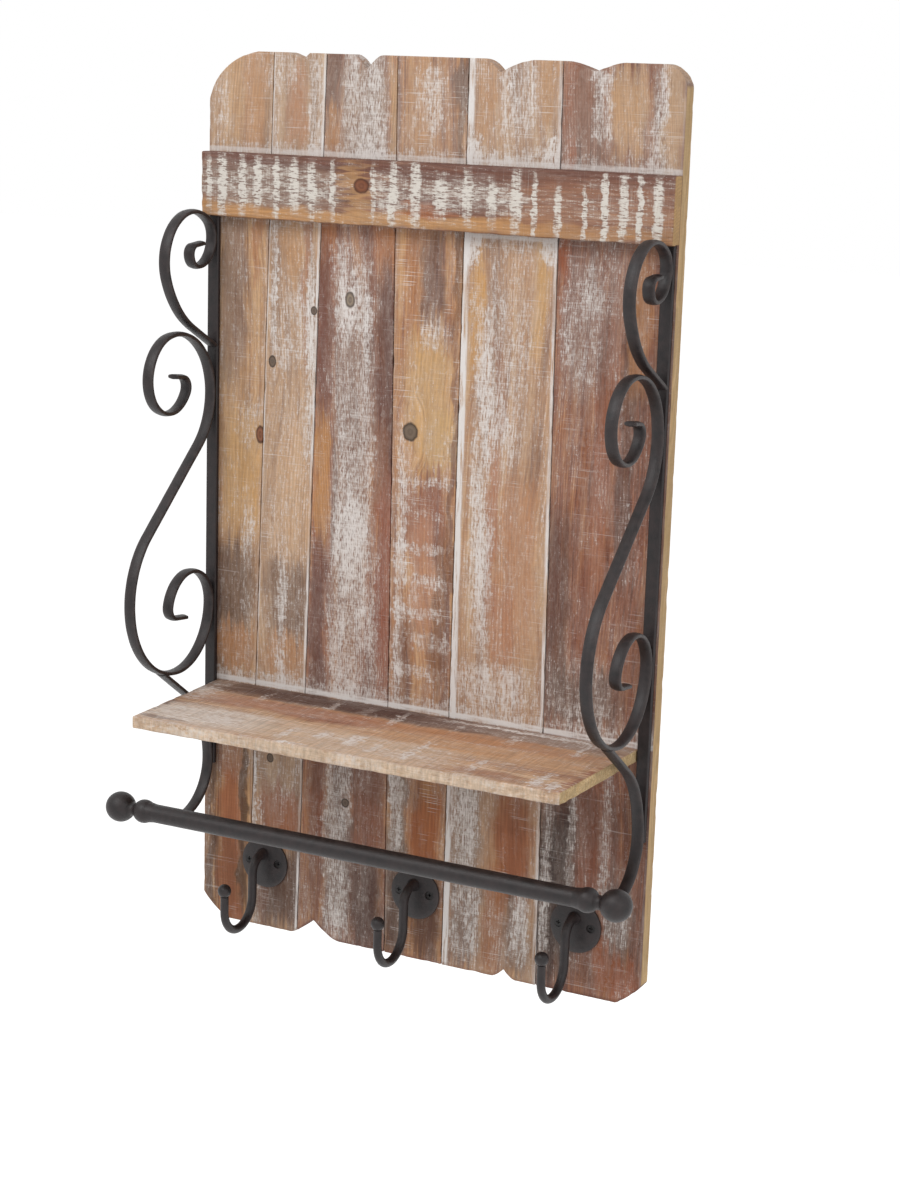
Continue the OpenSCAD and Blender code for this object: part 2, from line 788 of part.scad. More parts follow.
plank(0);  // plank_1
plank(1);  // plank_2
plank(2);  // plank_3
plank(3);  // plank_4
plank(4);  // plank_5
plank(5);  // plank_6
front_batten();
upper_cleat();
lower_cleat();
shelf_board();
strap(-1);  // left_strap
strap(1);  // right_strap
upper_scroll(-1);  // left_upper_scroll
upper_scroll(1);  // right_upper_scroll
s_scroll(-1);  // left_s_scroll
s_scroll(1);  // right_s_scroll
lower_bar(-1);  // left_lower_bar
lower_bar(1);  // right_lower_bar
towel_rail();
finial(-1);  // left_finial
finial(1);  // right_finial
hook_plate(0);  // left_hook_plate
hook_plate(1);  // centre_hook_plate
hook_plate(2);  // right_hook_plate
hook_arm(0);  // left_hook_arm
hook_arm(1);  // centre_hook_arm
hook_arm(2);  // right_hook_arm
hook_screws();
strap_screws();
cleat_screws();
shelf_screws();
hanger_plate(-1);  // left_hanger_plate
hanger_plate(1);  // right_hanger_plate
hanger_screws();
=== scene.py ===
"""The looks of a wall shelf with hooks: six reclaimed planks with a batten and a shelf, two
scrolled flat-bar brackets with a towel rail, and three robe hooks.

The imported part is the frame. Boards and ironwork that need more shape than their solids have
are built here as meshes and stand for those solids; the rest keeps its solid and is dressed.
Lengths in the classes are millimetres, as a maker would write them, and are turned to metres
when a mesh is made.
"""

from __future__ import annotations

import logging
import math
from dataclasses import dataclass, field
from enum import Enum
from typing import Callable, Iterable, Sequence

import bpy
import numpy as np
from mathutils import Matrix, Vector, noise


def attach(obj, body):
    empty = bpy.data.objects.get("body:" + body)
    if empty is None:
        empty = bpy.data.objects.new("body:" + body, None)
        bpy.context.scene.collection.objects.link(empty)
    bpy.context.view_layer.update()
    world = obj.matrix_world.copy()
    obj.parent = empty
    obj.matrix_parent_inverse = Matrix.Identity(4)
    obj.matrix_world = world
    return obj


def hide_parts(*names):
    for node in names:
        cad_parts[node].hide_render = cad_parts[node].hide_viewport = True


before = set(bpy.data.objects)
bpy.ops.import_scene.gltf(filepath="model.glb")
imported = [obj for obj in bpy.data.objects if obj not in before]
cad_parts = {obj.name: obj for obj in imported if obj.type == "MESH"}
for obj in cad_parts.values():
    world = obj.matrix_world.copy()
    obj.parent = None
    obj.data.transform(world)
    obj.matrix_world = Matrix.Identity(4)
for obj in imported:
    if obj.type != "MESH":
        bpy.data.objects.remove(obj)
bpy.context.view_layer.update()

BODY = "root"
MM = 0.001
LOG = logging.getLogger("wall_shelf")
PLANK_FACE = 26.0  # Distance of the planks' face from the wall in millimetres
BRACKET_AT = 207.75  # Distance of a bracket from the middle of the board in millimetres
WOOD_IOR, WOOD_GLOSS = 1.45, 0.3
LACQUER_IOR = 1.5
CREASE = 35.0  # Angle between two faces from which their edge is drawn sharp, in degrees
WAVE_REPEAT = 0.314  # A wave pattern's bands repeat every 0.314 of its scaled space

Point2 = tuple[float, float]
Step = tuple[float, float]
Frame2 = tuple[float, float, float]
Row = tuple[float | str, ...]
Socket = bpy.types.NodeSocket


class Side(Enum):
    """The two sides of the shelf, seen from the front."""

    LEFT = -1
    RIGHT = 1


class Grain(Enum):
    """How a board lies: the axes across its fibres, along them and through its thickness."""

    UPRIGHT = (0, 2, 1)
    LEVEL = (2, 0, 1)
    SHELF = (1, 0, 2)


def linear(code: str) -> tuple[float, float, float, float]:
    """Turns an sRGB hex colour into a linear one.

    Args:
        code: The colour as six hex digits, with or without a leading #.

    Returns:
        Linear red, green and blue, and an alpha of 1.
    """
    parts = [int(code.lstrip("#")[i:i + 2], 16) / 255 for i in (0, 2, 4)]
    light = [c / 12.92 if c <= 0.04045 else ((c + 0.055) / 1.055) ** 2.4 for c in parts]
    return (light[0], light[1], light[2], 1.0)


class Graph:
    """The node tree of a material or of the world."""

    def __init__(self, owner: bpy.types.Material | bpy.types.World) -> None:
        """Empties the tree of its owner.

        Args:
            owner: The material or the world.
        """
        owner.use_nodes = True
        self.tree = owner.node_tree
        self.tree.nodes.clear()

    def add(self, kind: str, inputs: dict | None = None, out: int | str = 0,
            stops: Sequence[tuple[float, str]] = (), **settings: object) -> Socket | None:
        """Adds one node with its settings and links.

        Args:
            kind: The node's type without its ShaderNode prefix.
            inputs: Input name or number to a value or to the socket that feeds it.
            out: Name or number of the output to return.
            stops: Places and hex colours of a colour ramp.
            **settings: Attributes of the node.

        Returns:
            The output socket, or nothing for a node that ends the tree.
        """
        node = self.tree.nodes.new("ShaderNode" + kind)
        for name, value in settings.items():
            setattr(node, name, value)
        for place, (at, code) in enumerate(stops):
            ramp = node.color_ramp.elements
            stop = ramp[place] if place < 2 else ramp.new(at)
            stop.position, stop.color = at, linear(code)
        for key, value in (inputs or {}).items():
            if isinstance(value, bpy.types.NodeSocket):
                self.tree.links.new(value, node.inputs[key])
            else:
                node.inputs[key].default_value = value
        return node.outputs[out] if node.outputs else None


def cloud(g: Graph, point: Socket, cell: Sequence[float], seed: float, detail: float = 3.0,
          low: float = 0.3, high: float = 0.7) -> Socket:
    """A cloudy pattern whose spots have a real size.

    Args:
        g: The tree.
        point: The place in millimetres.
        cell: Size of a spot along each axis of the point, in millimetres.
        seed: Shifts the pattern, so that no two boards are alike.
        detail: Octaves.
        low: Value of the raw pattern that becomes 0.
        high: Value of the raw pattern that becomes 1.

    Returns:
        A value from 0 to 1.
    """
    place = g.add("VectorMath", {0: point, 1: [1 / c for c in cell], 2: (seed, -seed, seed)},
                  operation="MULTIPLY_ADD")
    raw = g.add("TexNoise", {"Vector": place, "Scale": 1.0, "Detail": detail, "Roughness": 0.6})
    return g.add("MapRange", {"Value": raw, "From Min": low, "From Max": high})


def coat(g: Graph, under: Socket | str, over: Socket | str, *shares: Socket | float) -> Socket:
    """Lays one colour over another.

    Args:
        g: The tree.
        under: The colour below, as hex digits or from a node.
        over: The colour on top.
        *shares: Patterns and strengths; only the top colour shows where their product is 1.

    Returns:
        The mixed colour.
    """
    share = shares[0]
    for other in shares[1:]:
        share = g.add("Math", {0: share, 1: other}, operation="MULTIPLY")
    below, top = (linear(c) if isinstance(c, str) else c for c in (under, over))
    return g.add("Mix", {0: share, 6: below, 7: top}, out=2, data_type="RGBA")


def weigh(g: Graph, start: Socket | float, *terms: tuple[Socket, float]) -> Socket:
    """Adds up patterns by their weights.

    Args:
        g: The tree.
        start: What they are added to.
        *terms: Each pattern and its weight.

    Returns:
        The sum.
    """
    for pattern, weight in terms:
        start = g.add("Math", {0: pattern, 1: weight, 2: start}, operation="MULTIPLY_ADD")
    return start


@dataclass(frozen=True)
class Smudge:
    """A soft patch on a board: a stain in a colour of its own, or more or less whitewash.

    Attributes:
        at: Middle, across and along the fibres, in millimetres.
        size: Half its size, across and along the fibres.
        strength: Share of the stain, or what it adds to the whitewash.
        ink: Hex colour of a stain, or nothing for whitewash.
    """

    at: Point2
    size: Point2
    strength: float = 1.0
    ink: str = ""

    def mask(self, g: Graph, point: Socket) -> Socket:
        """Finds how far the patch covers a place.

        A patch is a rounded box, as the fibres and saw marks that bound it are straight: the
        fourth powers of the two distances are added.

        Args:
            g: The tree.
            point: The place as (across, along, depth).

        Returns:
            A value of 1 in the patch and 0 away from it, with a soft edge.
        """
        off = g.add("VectorMath", {0: point, 1: (-self.at[0], -self.at[1], 0.0)}, operation="ADD")
        near = g.add("VectorMath", {0: off, 1: (1 / self.size[0], 1 / self.size[1], 0.0)},
                     operation="MULTIPLY")
        square = g.add("VectorMath", {0: near, 1: near}, operation="MULTIPLY")
        far = g.add("VectorMath", {0: square}, out="Value", operation="LENGTH")
        return g.add("MapRange", {"Value": far, "From Min": 1.4, "From Max": 0.25},
                     interpolation_type="SMOOTHSTEP")


def patches(*rows: Row) -> tuple[Smudge, ...]:
    """Reads stains and patches of whitewash that are written as rows.

    Args:
        *rows: Middle across and along the fibres, half size across and along them, strength,
            and the hex colour if it is a stain.

    Returns:
        The patches.
    """
    return tuple(Smudge(row[:2], row[2:4], *row[4:]) for row in rows)


@dataclass(frozen=True)
class Knot:
    """A knot, which the growth rings swing round.

    Attributes:
        at: Middle, across and along the fibres, in millimetres.
        size: Half its size, across and along the fibres.
        core: Hex colour of its middle.
        ring: Hex colour of a paler ring in it.
        rim: Hex colour of its dark rim.
    """

    at: Point2
    size: Point2
    core: str = "#57493F"
    ring: str = "#6C5C50"
    rim: str = "#3A302A"


@dataclass(frozen=True)
class Finish:
    """A finish of one of the object's surfaces.

    Attributes:
        name: Name of its material.
    """

    name: str

    def look(self, g: Graph, place: Socket) -> dict[str, object]:
        """Returns the shader's inputs at a place in millimetres."""
        raise NotImplementedError

    def make(self) -> bpy.types.Material:
        """Builds the material.

        Returns:
            The material.
        """
        material = bpy.data.materials.new(self.name)
        g = Graph(material)
        place = g.add("VectorMath", {0: g.add("TexCoord", out="Object"), "Scale": 1 / MM},
                      operation="SCALE")
        shader = g.add("BsdfPrincipled", self.look(g, place))
        g.add("OutputMaterial", {"Surface": shader})
        return material


@dataclass(frozen=True)
class ReclaimedPine(Finish):
    """Rough-sawn softwood, stained by age, dry-brushed with whitewash and rubbed back.

    The saw leaves fine ridges across the fibres and the plane's dull blade raises the rings, so
    the wash catches on the high parts and the stain stays in the low ones: the eye sees broken
    chalky streaks over warm bands from tan to dark brown. The board's mesh says in four
    attributes how far a point is from its low and its high edge across the fibres (rim_low,
    rim_high, in millimetres), how bare it is (raw) and how browned (scorch).

    Attributes:
        grain: How the board lies.
        seed: Shifts every pattern.
        tones: Hex colours from its dark rings to its light ones.
        smudges: Stains and patches of whitewash.
        knots: The knots.
        wash: Whitewash all over, from 0 to 1.
        rims: Whitewash along the low and the high edge across the fibres.
        rim_mm: Width of those two edges in millimetres.
        joints: Height, half width and strength of white lines across the fibres.
        kerf: Strength of the pale saw scratches across the fibres.
        ring_mm: Spacing of the growth rings.
        ring_depth: How much darker a ring's low side is.
        raw: Hex colour of a freshly cut side.
        knur: Hex colour of the streaks on such a side.
        milk: Hex colour of the thin film of wash.
        chalk: Hex colour of the thick wash.
        body: How opaque the thick wash is.
        cross: How much darker a saw mark across the fibres is.
        saw_mm: Length and width of such a mark.
        gaps: How far the pits of the surface break the thick wash.
        ragged: How far the outline of the wash strays, in millimetres.
    """

    grain: Grain
    seed: float
    tones: tuple[str, str, str]
    smudges: tuple[Smudge, ...]
    knots: tuple[Knot, ...] = ()
    wash: float = 0.3
    rims: Point2 = (0.0, 0.0)
    rim_mm: Point2 = (3.0, 3.0)
    joints: tuple[tuple[float, float, float], ...] = ()
    kerf: float = 0.4
    ring_mm: float = 3.0
    ring_depth: float = 0.2
    raw: str = "#CDB48E"
    knur: str = "#B08E62"
    milk: str = "#CCBFB5"
    chalk: str = "#E2DCD8"
    body: float = 0.85
    cross: float = 0.12
    saw_mm: Point2 = (20.0, 0.9)
    gaps: float = 0.3
    ragged: Point2 = (3.0, 6.0)

    def look(self, g: Graph, place: Socket) -> dict[str, object]:
        """Draws the wood from the ground colour up, in the order in which it aged.

        Args:
            g: The tree.
            place: The place in millimetres.

        Returns:
            The shader's inputs.
        """
        coats = PineCoats(self, g, place)
        for lay in (coats.ground, coats.stains, coats.fine_lines, coats.whitewash, coats.knots,
                    coats.bare):
            lay()
        rough = g.add("MapRange", {"Value": coats.chalk, "To Min": 0.7, "To Max": 0.92})
        # The ridges of a rough saw stand about 0.2 mm; drawn a little deeper so that they show
        bump = g.add("Bump", {"Strength": 0.6, "Distance": 0.35 * MM,
                     "Height": weigh(g, coats.streak, (coats.chalk, 0.5))})
        return {"Base Color": coats.colour, "Roughness": rough, "IOR": WOOD_IOR,
                "Specular IOR Level": WOOD_GLOSS, "Normal": bump}


class PineCoats:
    """The coats of one old board, laid one on another.

    Attributes:
        pine: The finish that they draw.
        g: The tree.
        flat: The place as (across, along, depth) in millimetres.
        soft: The same, frayed for the edges of the wash.
        loose: The same, combed along the fibres for the edges of the stains.
        fibres: The same, bent round slow curves and knots.
        streak: The finest streaks of the wood.
        tint: What the low parts scale the colour by.
        rings: The growth rings, whose ridges catch the brush.
        chalk: How much chalk lies on the wood.
        colour: The colour so far.
    """

    tint: Socket
    rings: Socket
    chalk: Socket
    colour: Socket

    def __init__(self, pine: ReclaimedPine, g: Graph, place: Socket) -> None:
        """Lays out the board's places.

        Args:
            pine: The finish.
            g: The tree.
            place: The place in millimetres.
        """
        self.pine, self.g = pine, g
        axes = g.add("SeparateXYZ", {0: place}).node.outputs
        across, along, depth = (axes[i] for i in pine.grain.value)
        self.flat = g.add("CombineXYZ", {0: across, 1: along, 2: depth})
        # A slow drift keeps patches from an even outline; a comb that differs from fibre to
        # fibre lets stains end in streaks; a fine stray frays the wash
        drift = self._wander((0.05, 0.03, 0.0), (pine.seed, 3.0), (20.0, 34.0), 4.0)
        comb = self._wander((0.4, 0.02, 0.0), (pine.seed, 8.0), (5.0, 56.0), 3.0)
        stray = self._wander((0.2, 0.2, 0.2), (0.0, 0.0),
                             (4 * pine.ragged[0], 4 * pine.ragged[1]), 3.0)
        part = g.add("VectorMath", {0: drift, 1: (0.3, 0.12, 0.0), 2: self.flat},
                     operation="MULTIPLY_ADD")
        self.soft = g.add("VectorMath", {0: part, 1: stray}, operation="ADD")
        both = g.add("VectorMath", {0: drift, 1: comb}, operation="ADD")
        self.loose = g.add("VectorMath", {0: both, 1: self.flat}, operation="ADD")
        bent = weigh(g, across, (self._cloud((70, 260, 40), 7, detail=1.0), 14.0))
        for knot in pine.knots:
            reach = (2.6 * knot.size[0], 4.2 * knot.size[1])
            off = g.add("Math", {0: across, 1: knot.at[0]}, operation="SUBTRACT")
            pull = g.add("Math", {0: off, 1: Smudge(knot.at, reach).mask(g, self.flat)},
                         operation="MULTIPLY")
            bent = weigh(g, bent, (pull, -0.75))
        self.fibres = g.add("CombineXYZ", {0: bent, 1: along, 2: depth})
        self.streak = self._cloud((0.8, 20, 0.9), 0, 3.0, 0.28, 0.72, self.fibres)

    def _cloud(self, cell: Sequence[float], shift: float, detail: float = 3.0,
               low: float = 0.3, high: float = 0.7, at: Socket | None = None) -> Socket:
        """Returns a cloudy pattern that no other board has, as cloud() makes it."""
        return cloud(self.g, self.flat if at is None else at, cell, self.pine.seed + shift,
                     detail, low, high)

    def _wander(self, per_mm: Sequence[float], start: Point2, reach: Point2,
                detail: float) -> Socket:
        """Finds a shift that changes from place to place.

        Args:
            per_mm: How fast it changes along each axis.
            start: Where the pattern starts.
            reach: Width of the range of the shift across and along, in millimetres.
            detail: Octaves.

        Returns:
            The shift.
        """
        spot = self.g.add("VectorMath", {0: self.flat, 1: per_mm, 2: (*start, 0.0)},
                          operation="MULTIPLY_ADD")
        raw = self.g.add("TexNoise", {"Vector": spot, "Scale": 1.0, "Detail": detail},
                         out="Color")
        return self.g.add("VectorMath", {0: raw, 1: (*reach, 0.0),
                          2: (-reach[0] / 2, -reach[1] / 2, 0.0)}, operation="MULTIPLY_ADD")

    def _attribute(self, name: str) -> Socket:
        """Returns what the board's mesh says under a name."""
        return self.g.add("Attribute", {}, out="Fac", attribute_name=name)

    def ground(self) -> None:
        """The wood's own tone, in streaks of several widths."""
        broad = self._cloud((13, 210, 13), 2, at=self.fibres)
        middle = self._cloud((2.8, 70, 3), 1, at=self.fibres)
        tone = weigh(self.g, 0.0, (self.streak, 0.18), (middle, 0.32), (broad, 0.5))
        dark, mid, light = self.pine.tones
        self.colour = self.g.add("ValToRGB", {"Fac": tone}, stops=((0.22, dark), (0.8, light),
                                 (0.5, mid)))

    def stains(self) -> None:
        """The stains, each with an end in streaks."""
        for s in self.pine.smudges:
            if s.ink:
                self.colour = coat(self.g, self.colour, s.ink, s.mask(self.g, self.loose),
                                   s.strength)

    def fine_lines(self) -> None:
        """The low parts: growth rings along the board and saw marks across it."""
        pine, g = self.pine, self.g
        slow = g.add("VectorMath", {0: self.fibres, 1: (1.0, 0.03, 0.4)}, operation="MULTIPLY")
        wave = g.add("TexWave", {"Vector": slow, "Scale": WAVE_REPEAT / pine.ring_mm,
                     "Distortion": 0.8, "Detail": 2.0, "Detail Scale": 1.4,
                     "Detail Roughness": 0.6, "Phase Offset": pine.seed}, out="Fac",
                     bands_direction="X")
        plain = self._cloud((10, 120, 10), 16, low=0.35, high=0.6, at=self.fibres)
        self.rings = g.add("Math", {0: wave, 1: plain}, operation="MULTIPLY")
        saw = self._cloud((*pine.saw_mm, 9), 5)
        self.tint = weigh(g, 0.82 - 0.5 * pine.cross, (self.streak, 0.24), (saw, pine.cross),
                          (self.rings, pine.ring_depth))
        self.colour = g.add("VectorMath", {0: self.colour, "Scale": self.tint},
                            operation="SCALE")

    def whitewash(self) -> None:
        """A milky film, dry-brushed chalk on it, rubbed rims and pale saw scratches."""
        pine, g = self.pine, self.g
        narrow = self._cloud((2.6, 38, 20), 11, at=self.soft)
        wide = self._cloud((12, 55, 20), 15, at=self.soft)
        cover = weigh(g, pine.wash - 0.36, (wide, 0.36), (narrow, 0.3),
                      *((s.mask(g, self.soft), s.strength) for s in pine.smudges if not s.ink))
        cover = g.add("Clamp", {"Value": cover, "Min": 0.0, "Max": 0.95})
        mist = self._cloud((1.5, 9, 4), 12, 5.0, 0.34, 0.66)
        mist = g.add("MapRange", {"Value": mist, "To Min": 0.2, "To Max": 0.84})
        colour = coat(g, self.colour, pine.milk, cover, mist)
        pit = self._cloud((1.3, 6, 3), 14, 3.0, 0.52, 0.68)
        colour = coat(g, colour, pine.tones[0], pit, cover, 0.8)
        # Bristle marks are 0.3 mm wide on the real board; drawn at 1 mm so that they show
        brush = self._cloud((0.9, 6.0, 3), 3, 4.0, 0.25, 0.75)
        blot = self._cloud((4, 8, 6), 4, 4.0, 0.25, 0.75)
        saw = self._cloud((12, 1.1, 8), 6, 3.0, 0.25, 0.75)
        level = weigh(g, 0.0, (saw, 0.28), (blot, 0.2), (brush, 0.48), (pit, -pine.gaps),
                      (self.rings, 0.14), (cover, 0.62))
        low = 0.84 - 0.22 * pine.gaps
        chalk = g.add("MapRange", {"Value": level, "From Min": low, "From Max": low + 0.36})
        rims = self._rims()
        line = self._cloud((60, 0.9, 30), 8, 2.0, 0.6, 0.7)
        where = self._cloud((20, 24, 30), 9, 2.0, 0.48, 0.62)
        for shares in ((chalk, pine.body), (rims,), (line, where, pine.kerf)):
            colour = coat(g, colour, pine.chalk, *shares)
        self.colour = colour
        self.chalk = g.add("Math", {0: chalk, 1: rims}, operation="MAXIMUM")

    def _rims(self) -> Socket:
        """Finds where the rag left the wash: along both edges and in the joints across.

        Returns:
            How white these lines are.
        """
        pine, g = self.pine, self.g
        slow = g.add("MapRange", {"Value": self._cloud((400, 80, 400), 19, 2.0, 0.36, 0.6),
                     "To Min": 0.3})
        fleck = g.add("Math", {0: self._cloud((2.0, 30, 4), 10, 4.0, 0.32, 0.6), 1: slow},
                      operation="MULTIPLY")
        patchy = self._cloud((24, 2.6, 8), 18, 4.0, 0.22, 0.5)
        level = g.add("SeparateXYZ", {0: self.flat}).node.outputs[1]
        edges = zip(("rim_low", "rim_high"), pine.rim_mm, pine.rims)
        lines = [(self._attribute(rim), width, strength, fleck)
                 for rim, width, strength in edges if strength]
        for height, width, strength in pine.joints:
            off = g.add("Math", {0: level, 1: height}, operation="SUBTRACT")
            lines.append((g.add("Math", {0: off}, operation="ABSOLUTE"), width, strength,
                          patchy))
        rims: Socket | float = 0.0
        for gap, width, strength, broken in lines:
            near = g.add("MapRange", {"Value": gap, "From Min": width,
                         "From Max": 0.45 * width, "To Max": strength},
                         interpolation_type="SMOOTHSTEP")
            near = g.add("Math", {0: near, 1: broken}, operation="MULTIPLY")
            rims = g.add("Math", {0: rims, 1: near}, operation="MAXIMUM", use_clamp=True)
        return rims

    def knots(self) -> None:
        """The knots with their rings and dark rim."""
        g = self.g
        for knot in self.pine.knots:
            off = g.add("VectorMath", {0: self.flat, 1: (-knot.at[0], -knot.at[1], 0.0)},
                        operation="ADD")
            near = g.add("VectorMath", {0: off, 1: (1 / knot.size[0], 1 / knot.size[1], 0.0)},
                         operation="MULTIPLY")
            out = g.add("VectorMath", {0: near}, out="Value", operation="LENGTH")
            far = weigh(g, out, (self._cloud((4, 4, 5), knot.at[1], low=0.2, high=0.8), 0.18))
            scaled = g.add("Math", {0: far, 1: 0.8}, operation="MULTIPLY")
            inner = g.add("ValToRGB", {"Fac": scaled}, stops=(
                (0.0, knot.ring), (1.0, self.pine.tones[1]), (0.3, knot.core),
                (0.5, knot.ring), (0.7, knot.core), (0.8, knot.rim), (0.92, knot.rim)))
            inside = g.add("MapRange", {"Value": far, "From Min": 1.34, "From Max": 0.98,
                           "To Max": 0.94}, interpolation_type="SMOOTHSTEP")
            self.colour = coat(g, self.colour, inner, inside)

    def bare(self) -> None:
        """The outline, browned where the stain soaked in, and the bare cut sides."""
        pine, g = self.pine, self.g
        fleck = self._cloud((9, 9, 9), 17, low=0.2, high=0.6)
        colour = coat(g, self.colour, pine.tones[0], self._attribute("scorch"), fleck)
        pale = coat(g, pine.raw, pine.knur, self._cloud((2.5, 40, 1.2), 13, detail=4.0))
        pale = g.add("VectorMath", {0: pale, "Scale": self.tint}, operation="SCALE")
        self.colour = coat(g, colour, pale, self._attribute("raw"))


@dataclass(frozen=True)
class PlanedPine(Finish):
    """New softwood straight from the planer, for the hidden cleats: pale, even and dry.

    Attributes:
        name: Name of its material.
        pale: Hex colour between the fibres.
        dark: Hex colour of the fibres.
    """

    name: str = "planed_pine"
    pale: str = "#CBB087"
    dark: str = "#A98A60"

    def look(self, g: Graph, place: Socket) -> dict[str, object]:
        """Draws fibres along the cleat.

        Args:
            g: The tree.
            place: The place in millimetres.

        Returns:
            The shader's inputs.
        """
        fibre = cloud(g, place, (60, 1.6, 1.4), 4.0, detail=4.0)
        broad = cloud(g, place, (220, 12, 12), 9.0)
        bump = g.add("Bump", {"Strength": 0.4, "Distance": 0.2 * MM, "Height": fibre})
        return {"Base Color": coat(g, self.pale, self.dark, fibre, broad), "Roughness": 0.7,
                "IOR": WOOD_IOR, "Specular IOR Level": WOOD_GLOSS, "Normal": bump}


@dataclass(frozen=True)
class LacqueredIron(Finish):
    """Hand-bent mild steel under a thin satin black lacquer.

    The lacquer keeps the scale and hammer marks of the bar, so its sheen is soft and uneven,
    and rubbed edges show a little of the grey metal.

    Attributes:
        name: Name of its material.
        deep: Hex colour in the hollows.
        high: Hex colour on the high parts.
        worn: Hex colour of rubbed edges.
    """

    name: str = "lacquered_iron"
    deep: str = "#151112"
    high: str = "#2B2222"
    worn: str = "#463C3A"

    def look(self, g: Graph, place: Socket) -> dict[str, object]:
        """Draws the mottled lacquer and the rubbed edges that the worn attribute gives.

        Args:
            g: The tree.
            place: The place in millimetres.

        Returns:
            The shader's inputs.
        """
        mottle = cloud(g, place, (7, 7, 7), 2.0, detail=5.0)
        # The grit of the lacquer is about 0.2 mm; drawn at 0.9 mm so that it shows
        grit = cloud(g, place, (0.9, 0.9, 0.9), 5.0)
        edge = g.add("Attribute", {}, out="Fac", attribute_name="worn")
        colour = coat(g, self.deep, self.high, mottle)
        colour = coat(g, colour, self.worn, edge, mottle, 0.6)
        matt = g.add("Math", {0: mottle, 1: grit}, operation="MULTIPLY")
        rough = g.add("MapRange", {"Value": matt, "To Min": 0.4, "To Max": 0.6})
        bump = g.add("Bump", {"Strength": 0.35, "Distance": 0.25 * MM,
                     "Height": weigh(g, grit, (mottle, 2.0))})
        return {"Base Color": colour, "Roughness": rough, "IOR": LACQUER_IOR,
                "Specular IOR Level": 0.4, "Normal": bump}


@dataclass(frozen=True)
class ZincPlate(Finish):
    """Bright zinc-plated steel: a cool grey metal with a cloudy passivated film.

    Attributes:
        name: Name of its material.
        bright: Hex colour of the metal.
        dull: Hex colour under the thickest film.
    """

    name: str = "zinc_plate"
    bright: str = "#C3C5C4"
    dull: str = "#8F918E"

    def look(self, g: Graph, place: Socket) -> dict[str, object]:
        """Returns a metal whose colour and gloss follow the film."""
        film = cloud(g, place, (4, 4, 4), 3.0, detail=4.0)
        return {"Base Color": coat(g, self.bright, self.dull, film), "Metallic": 1.0,
                "Roughness": g.add("MapRange", {"Value": film, "To Min": 0.28, "To Max": 0.5})}


def mesh_piece(name: str, points: np.ndarray, faces: Iterable[Sequence[int]],
               finish: bpy.types.Material, nodes: Sequence[str],
               values: dict[str, np.ndarray] | None = None,
               crease: float = CREASE) -> bpy.types.Object:
    """Makes one piece of the object and hangs it on the part.

    Args:
        name: Name of the piece.
        points: Its vertices in millimetres, in the row's frame.
        faces: Its faces.
        finish: Its material.
        nodes: The solids that it stands for.
        values: Values on its points that the material reads.
        crease: Angle between two faces from which their edge is drawn sharp, in degrees.

    Returns:
        The piece.
    """
    mesh = bpy.data.meshes.new(name)
    mesh.from_pydata((np.asarray(points, float) * MM).tolist(), [], [list(f) for f in faces])
    mesh.validate()
    mesh.shade_smooth()
    mesh.set_sharp_from_angle(angle=math.radians(crease))
    for key, value in (values or {}).items():
        layer = mesh.attributes.new(key, "FLOAT", "POINT")
        layer.data.foreach_set("value", np.asarray(value, np.float32))
    mesh.materials.append(finish)
    piece = bpy.data.objects.new(name, mesh)
    bpy.context.scene.collection.objects.link(piece)
    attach(piece, BODY)
    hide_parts(*nodes)
    LOG.info("%s: %d points, stands for %s", name, len(mesh.vertices), ", ".join(nodes))
    return piece


def dress(node: str, finish: bpy.types.Material) -> None:
    """Gives a solid that stays in view its material.

    Args:
        node: Name of the solid.
        finish: The material.
    """
    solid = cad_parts[node]
    solid.data.materials.clear()
    solid.data.materials.append(finish)
    LOG.info("%s: kept and dressed in %s", node, finish.name)


@dataclass(frozen=True)
class RoundedBlock:
    """A closed block of quads with rounded edges, fine enough to carry dents.

    Attributes:
        half: Half its size along each axis in millimetres.
        radius: Radius of its edges.
        spacing: Distance between its grid lines along each axis.
    """

    half: tuple[float, float, float]
    radius: float
    spacing: tuple[float, float, float]

    def _lines(self, axis: int) -> np.ndarray:
        """Spaces the grid lines, close together at the edges.

        Args:
            axis: The axis that they divide.

        Returns:
            Their places from the middle.
        """
        h, r = self.half[axis], self.radius
        inner = max(1, round(2 * (h - r) / self.spacing[axis]))
        ends = np.array([0.0, 0.3, 0.62]) * r
        return np.concatenate([-h + ends, np.linspace(-h + r, h - r, inner + 1),
                               h - ends[::-1]])

    def build(self) -> tuple[np.ndarray, np.ndarray, list[list[int]]]:
        """Builds the block round its middle.

        Returns:
            Its points, the outward direction at each, and its faces.
        """
        lines = [self._lines(k) for k in range(3)]
        count = [len(line) for line in lines]
        index: dict[tuple[int, int, int], int] = {}
        grid: list[tuple[int, int, int]] = []
        faces: list[list[int]] = []

        def corner(key: tuple[int, int, int]) -> int:
            """Looks up a grid point, or adds it.

            Args:
                key: Its grid line along each axis.

            Returns:
                Its number.
            """
            if key not in index:
                index[key] = len(grid)
                grid.append(key)
            return index[key]

        for axis in range(3):
            a, b = [(1, 2), (2, 0), (0, 1)][axis]
            for end in (0, count[axis] - 1):
                for i in range(count[a] - 1):
                    for j in range(count[b] - 1):
                        quad = []
                        for da, db in ((0, 0), (1, 0), (1, 1), (0, 1)):
                            key = [0, 0, 0]
                            key[axis], key[a], key[b] = end, i + da, j + db
                            quad.append(corner((key[0], key[1], key[2])))
                        faces.append(quad if end else quad[::-1])
        keys = np.array(grid)
        raw = np.stack([lines[k][keys[:, k]] for k in range(3)], axis=1)
        core = np.array(self.half) - self.radius
        inside = np.clip(raw, -core, core)
        out = raw - inside
        out /= np.maximum(np.linalg.norm(out, axis=1, keepdims=True), 1e-9)
        return inside + out * self.radius, out, faces


